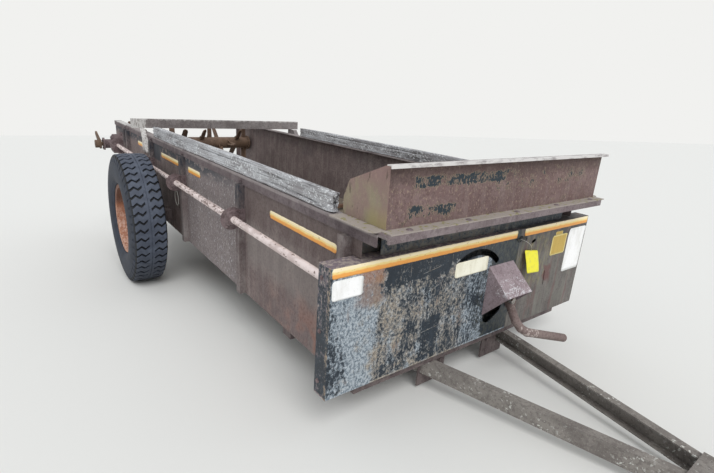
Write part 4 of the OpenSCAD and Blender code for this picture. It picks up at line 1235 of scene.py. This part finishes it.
# %% [markdown]
# ## Bolts, nuts and screws
#
# Small fastenings give a machine its scale. A hexagon head with its washer, a nut on a stud and the
# domed head of a coach bolt are each drawn once, standing on the origin and pointing up. One
# function stamps such a shape on a list of places, each with its own outward direction and its own
# turn, because no two nuts were tightened to the same angle.

# %% Shapes of fastenings and the stamp
def turned(outline, sides):
    """A small solid with one ring of the given number of sides for each radius and height."""
    turn = np.arange(sides) * 2 * math.pi / sides
    rings = [np.column_stack([r * np.cos(turn), r * np.sin(turn), np.full(sides, h)]) for r, h in outline]
    return tube(np.array(rings))


def joined(*parts):
    """Several solids as one list of points and one list of faces."""
    starts = np.cumsum([0] + [len(points) for points, _ in parts])
    faces = [[int(i + start) for i in face] for (_, part), start in zip(parts, starts) for face in part]
    return np.vstack([points for points, _ in parts]), faces


def stamped(name, shape, finish, body, places, outwards):
    """One piece of many copies: each point goes to place + x u + y v + h w, with w the outward
    direction and u, v square to it, turned by a random angle."""
    points, faces = shape
    places = np.asarray(places, float)
    w = np.broadcast_to(np.asarray(outwards, float), places.shape)
    helper = np.where(np.abs(w[:, 2:]) < 0.9, (0.0, 0.0, 1.0), (0.0, 1.0, 0.0))
    u = np.cross(helper, w)
    u /= np.linalg.norm(u, axis=1, keepdims=True)
    v = np.cross(w, u)
    spin = np.random.default_rng(len(name)).uniform(0, 2 * math.pi, len(places))[:, None]
    u, v = u * np.cos(spin) + v * np.sin(spin), v * np.cos(spin) - u * np.sin(spin)
    placed = places[:, None] + sum(points[None, :, k:k + 1] * way[:, None]
                                   for k, way in enumerate((u, v, w)))
    copies = [[i + k * len(points) for i in face] for k in range(len(places)) for face in faces]
    return dress(mesh_piece(name, on_body(placed), copies, smooth=False), finish, body)


def round_circle(centre, radius, count, axis, start=0.0):
    """Places evenly round a circle about the X, Y or Z axis (0, 1 or 2)."""
    turn = start + np.arange(count) * 2 * math.pi / count
    flat = np.zeros((count, 3))
    flat[:, (axis + 1) % 3], flat[:, (axis + 2) % 3] = radius * np.cos(turn), radius * np.sin(turn)
    return np.asarray(centre, float) + flat


washer = turned([(0.0165, -0.001), (0.0165, 0.0022)], 16)
hexagon = turned([(0.0125, 0.0015), (0.0125, 0.0085), (0.0110, 0.0098)], 6)
stud = turned([(0.0060, 0.0), (0.0060, 0.0130), (0.0050, 0.0140)], 10)
BOLT = joined(washer, hexagon)
NUT = joined(washer, hexagon, stud)
SCREW = (BOLT[0] * 0.62, BOLT[1])
arc = np.linspace(0, 1.35, 5)
DOME = turned([(0.0140, -0.001)] + [(0.0140 * math.cos(a), 0.0060 * math.sin(a)) for a in arc], 12)
print("fastenings:", len(BOLT[1]), len(NUT[1]), len(DOME[1]), "faces each")

# %% [markdown]
# The places follow from the construction's own sizes: flanges get a circle of bolts a little inside
# their rims, boards a coach bolt over each cross member, and the rails a nut over each stake.

# %% Places of fastenings
AHEAD, RIGHT_OUT, LEFT_OUT, UP = (0, -1, 0), (-1, 0, 0), (1, 0, 0), (0, 0, 1)
BOTH = (-1, 1)
# Centres of the turning parts, to a tenth of a millimetre
SHAFT_X, _, SHAFT_Z = to_body(joint_place["side_shaft_spin"]).round(4)
STUB_X, _, STUB_Z = to_body(joint_place["pto_spin"]).round(4)
_, BEATER_Y, BEATER_Z = to_body(joint_place["beater_spin"]).round(4)
STAKES = [1.124, 2.190, 3.090, 4.060, 4.200]
STAKE_HALF, SHELL_DEEP = 0.025, 0.0125
CROSS_MEMBERS = np.array([0.320, 0.620, 1.124, 1.657, 2.190, 2.860, 3.400, 4.090]) + 0.023
FLOOR_TOP, FLOOR_HALF_WIDE, BOARD_GAP, BOARD_COUNT = 0.168, 0.754, 0.005, 8
BOARD_STEP = (2 * FLOOR_HALF_WIDE + BOARD_GAP) / BOARD_COUNT
BOARDS = -FLOOR_HALF_WIDE + BOARD_STEP * (np.arange(BOARD_COUNT) + 0.5) - BOARD_GAP / 2
CHAIN_X, SLAT_TOP, SLAT_STEP = 0.540, 0.214, 0.3315
SLATS = 0.2663 + SLAT_STEP * np.arange(12)

# %% Bolts of the side shaft's bearings and of their arms
bearing_faces = [y - STAKE_HALF - SHELL_DEEP for y in STAKES[:3]]
stamped("bearing_bolts", SCREW, casting_rust, "chassis",
        np.vstack([round_circle((SHAFT_X, y, SHAFT_Z), 0.0555, 4, 1, 0.6) for y in bearing_faces]), AHEAD)
stamped("arm_bolts", SCREW, casting_rust, "chassis",
        [(-0.780, y + 0.0045, SHAFT_Z + dz) for y in bearing_faces for dz in (-0.030, 0.030)], AHEAD)

# %% Circles of bolts
# Piece, shape, centre, radius of the circle, how many, axis that it turns about, first angle, outwards
CIRCLES = [
    ("gearbox_flange_bolts", BOLT, (-0.774, BEATER_Y, BEATER_Z), 0.1140, 8, 0, 0.3, RIGHT_OUT),
    ("gearbox_cap_bolts", SCREW, (-0.872, BEATER_Y, BEATER_Z), 0.0760, 6, 0, 0.0, RIGHT_OUT),
    ("gearbox_neck_bolts", SCREW, (-0.958, BEATER_Y, BEATER_Z), 0.0560, 4, 0, 0.5, RIGHT_OUT),
    ("gearbox_input_bolts", SCREW, (SHAFT_X, 4.275, SHAFT_Z), 0.0640, 4, 1, 0.8, AHEAD),
    ("left_bearing_bolts", SCREW, (0.774, BEATER_Y, BEATER_Z), 0.0620, 4, 0, 0.8, LEFT_OUT),
    ("stub_bearing_bolts", SCREW, (STUB_X, 0.056, STUB_Z), 0.0500, 4, 1, 0.8, AHEAD)]
for name, shape, centre, radius, count, axis, start, outwards in CIRCLES:
    places = round_circle(centre, radius, count, axis, start)
    stamped(name, shape, casting_rust, "chassis", places, outwards)
for body, side in WHEELS:
    stamped(body.replace("wheel", "wheel_nuts"), NUT, hub_rust, body,
            round_circle((side * 0.998, AXLE_BACK, AXLE_UP), 0.1160, 8, 0), (side, 0, 0))

# %% Single bolts, rivets and screws
POST_BOLTS = [(3.385, 0.650), (3.290, 0.570)]
BRACKET_BOLTS = [(0.185, -0.085), (0.185, -0.150)]
# Piece, shape, finish, places, outwards
SINGLE = [
    ("floor_coach_bolts", DOME, frame_rust, [(x, y, FLOOR_TOP) for x in BOARDS for y in CROSS_MEMBERS], UP),
    ("slat_rivets", DOME, apron_rust,
     [(side * CHAIN_X, y - 0.008, SLAT_TOP) for side in BOTH for y in SLATS], UP),
    ("rail_nuts", NUT, rail_rust,
     [(side * (PANEL_OUT + 0.008), y, 0.654) for side in BOTH for y in STAKES],
     [(side, 0, 0) for side in BOTH for y in STAKES]),
    ("arch_post_bolts", BOLT, arch_rust,
     [(side * (PANEL_OUT + 0.016), y, z) for side in BOTH for y, z in POST_BOLTS],
     [(side, 0, 0) for side in BOTH for _ in POST_BOLTS]),
    ("hood_foot_bolts", DOME, beam_rust,
     [(0.018 + x, -0.094, 0.690) for x in (-0.66, -0.33, 0.0, 0.33, 0.66)], UP),
    ("cover_return_screws", SCREW, casting_rust, [(-0.912, 0.058, z) for z in (0.06, 0.28, 0.50)], RIGHT_OUT),
    ("bracket_bolts", BOLT, frame_rust,
     [(side * x, 0.060, z) for side in BOTH for x, z in BRACKET_BOLTS], AHEAD)]
for name, shape, finish, places, outwards in SINGLE:
    stamped(name, shape, finish, "chassis", places, outwards)

# %% Bolts through the hitch plates
# The drawbar lies at its own slope and angle: how much it rises, how far apart its rails start, how
# they close in, and its height under the floor frame
DRAWBAR_RISE, RAIL_ANGLE = math.radians(2.083), math.radians(12.5)
RAIL_HALF, PLATE_HALF, DRAWBAR_Z = 0.283, 0.050, -0.080
hitch_places = [(side * (RAIL_HALF - back * math.tan(RAIL_ANGLE)), -back, face * PLATE_HALF)
                for face in BOTH for side in BOTH for back in (1.02, 1.11)]
hitch_outwards = [(0, 0, np.sign(place[2])) for place in hitch_places]
stamped("hitch_bolts", BOLT, drawbar_rust, "chassis",
        about_x(hitch_places, -DRAWBAR_RISE) + (0, 0, DRAWBAR_Z), about_x(hitch_outwards, -DRAWBAR_RISE))
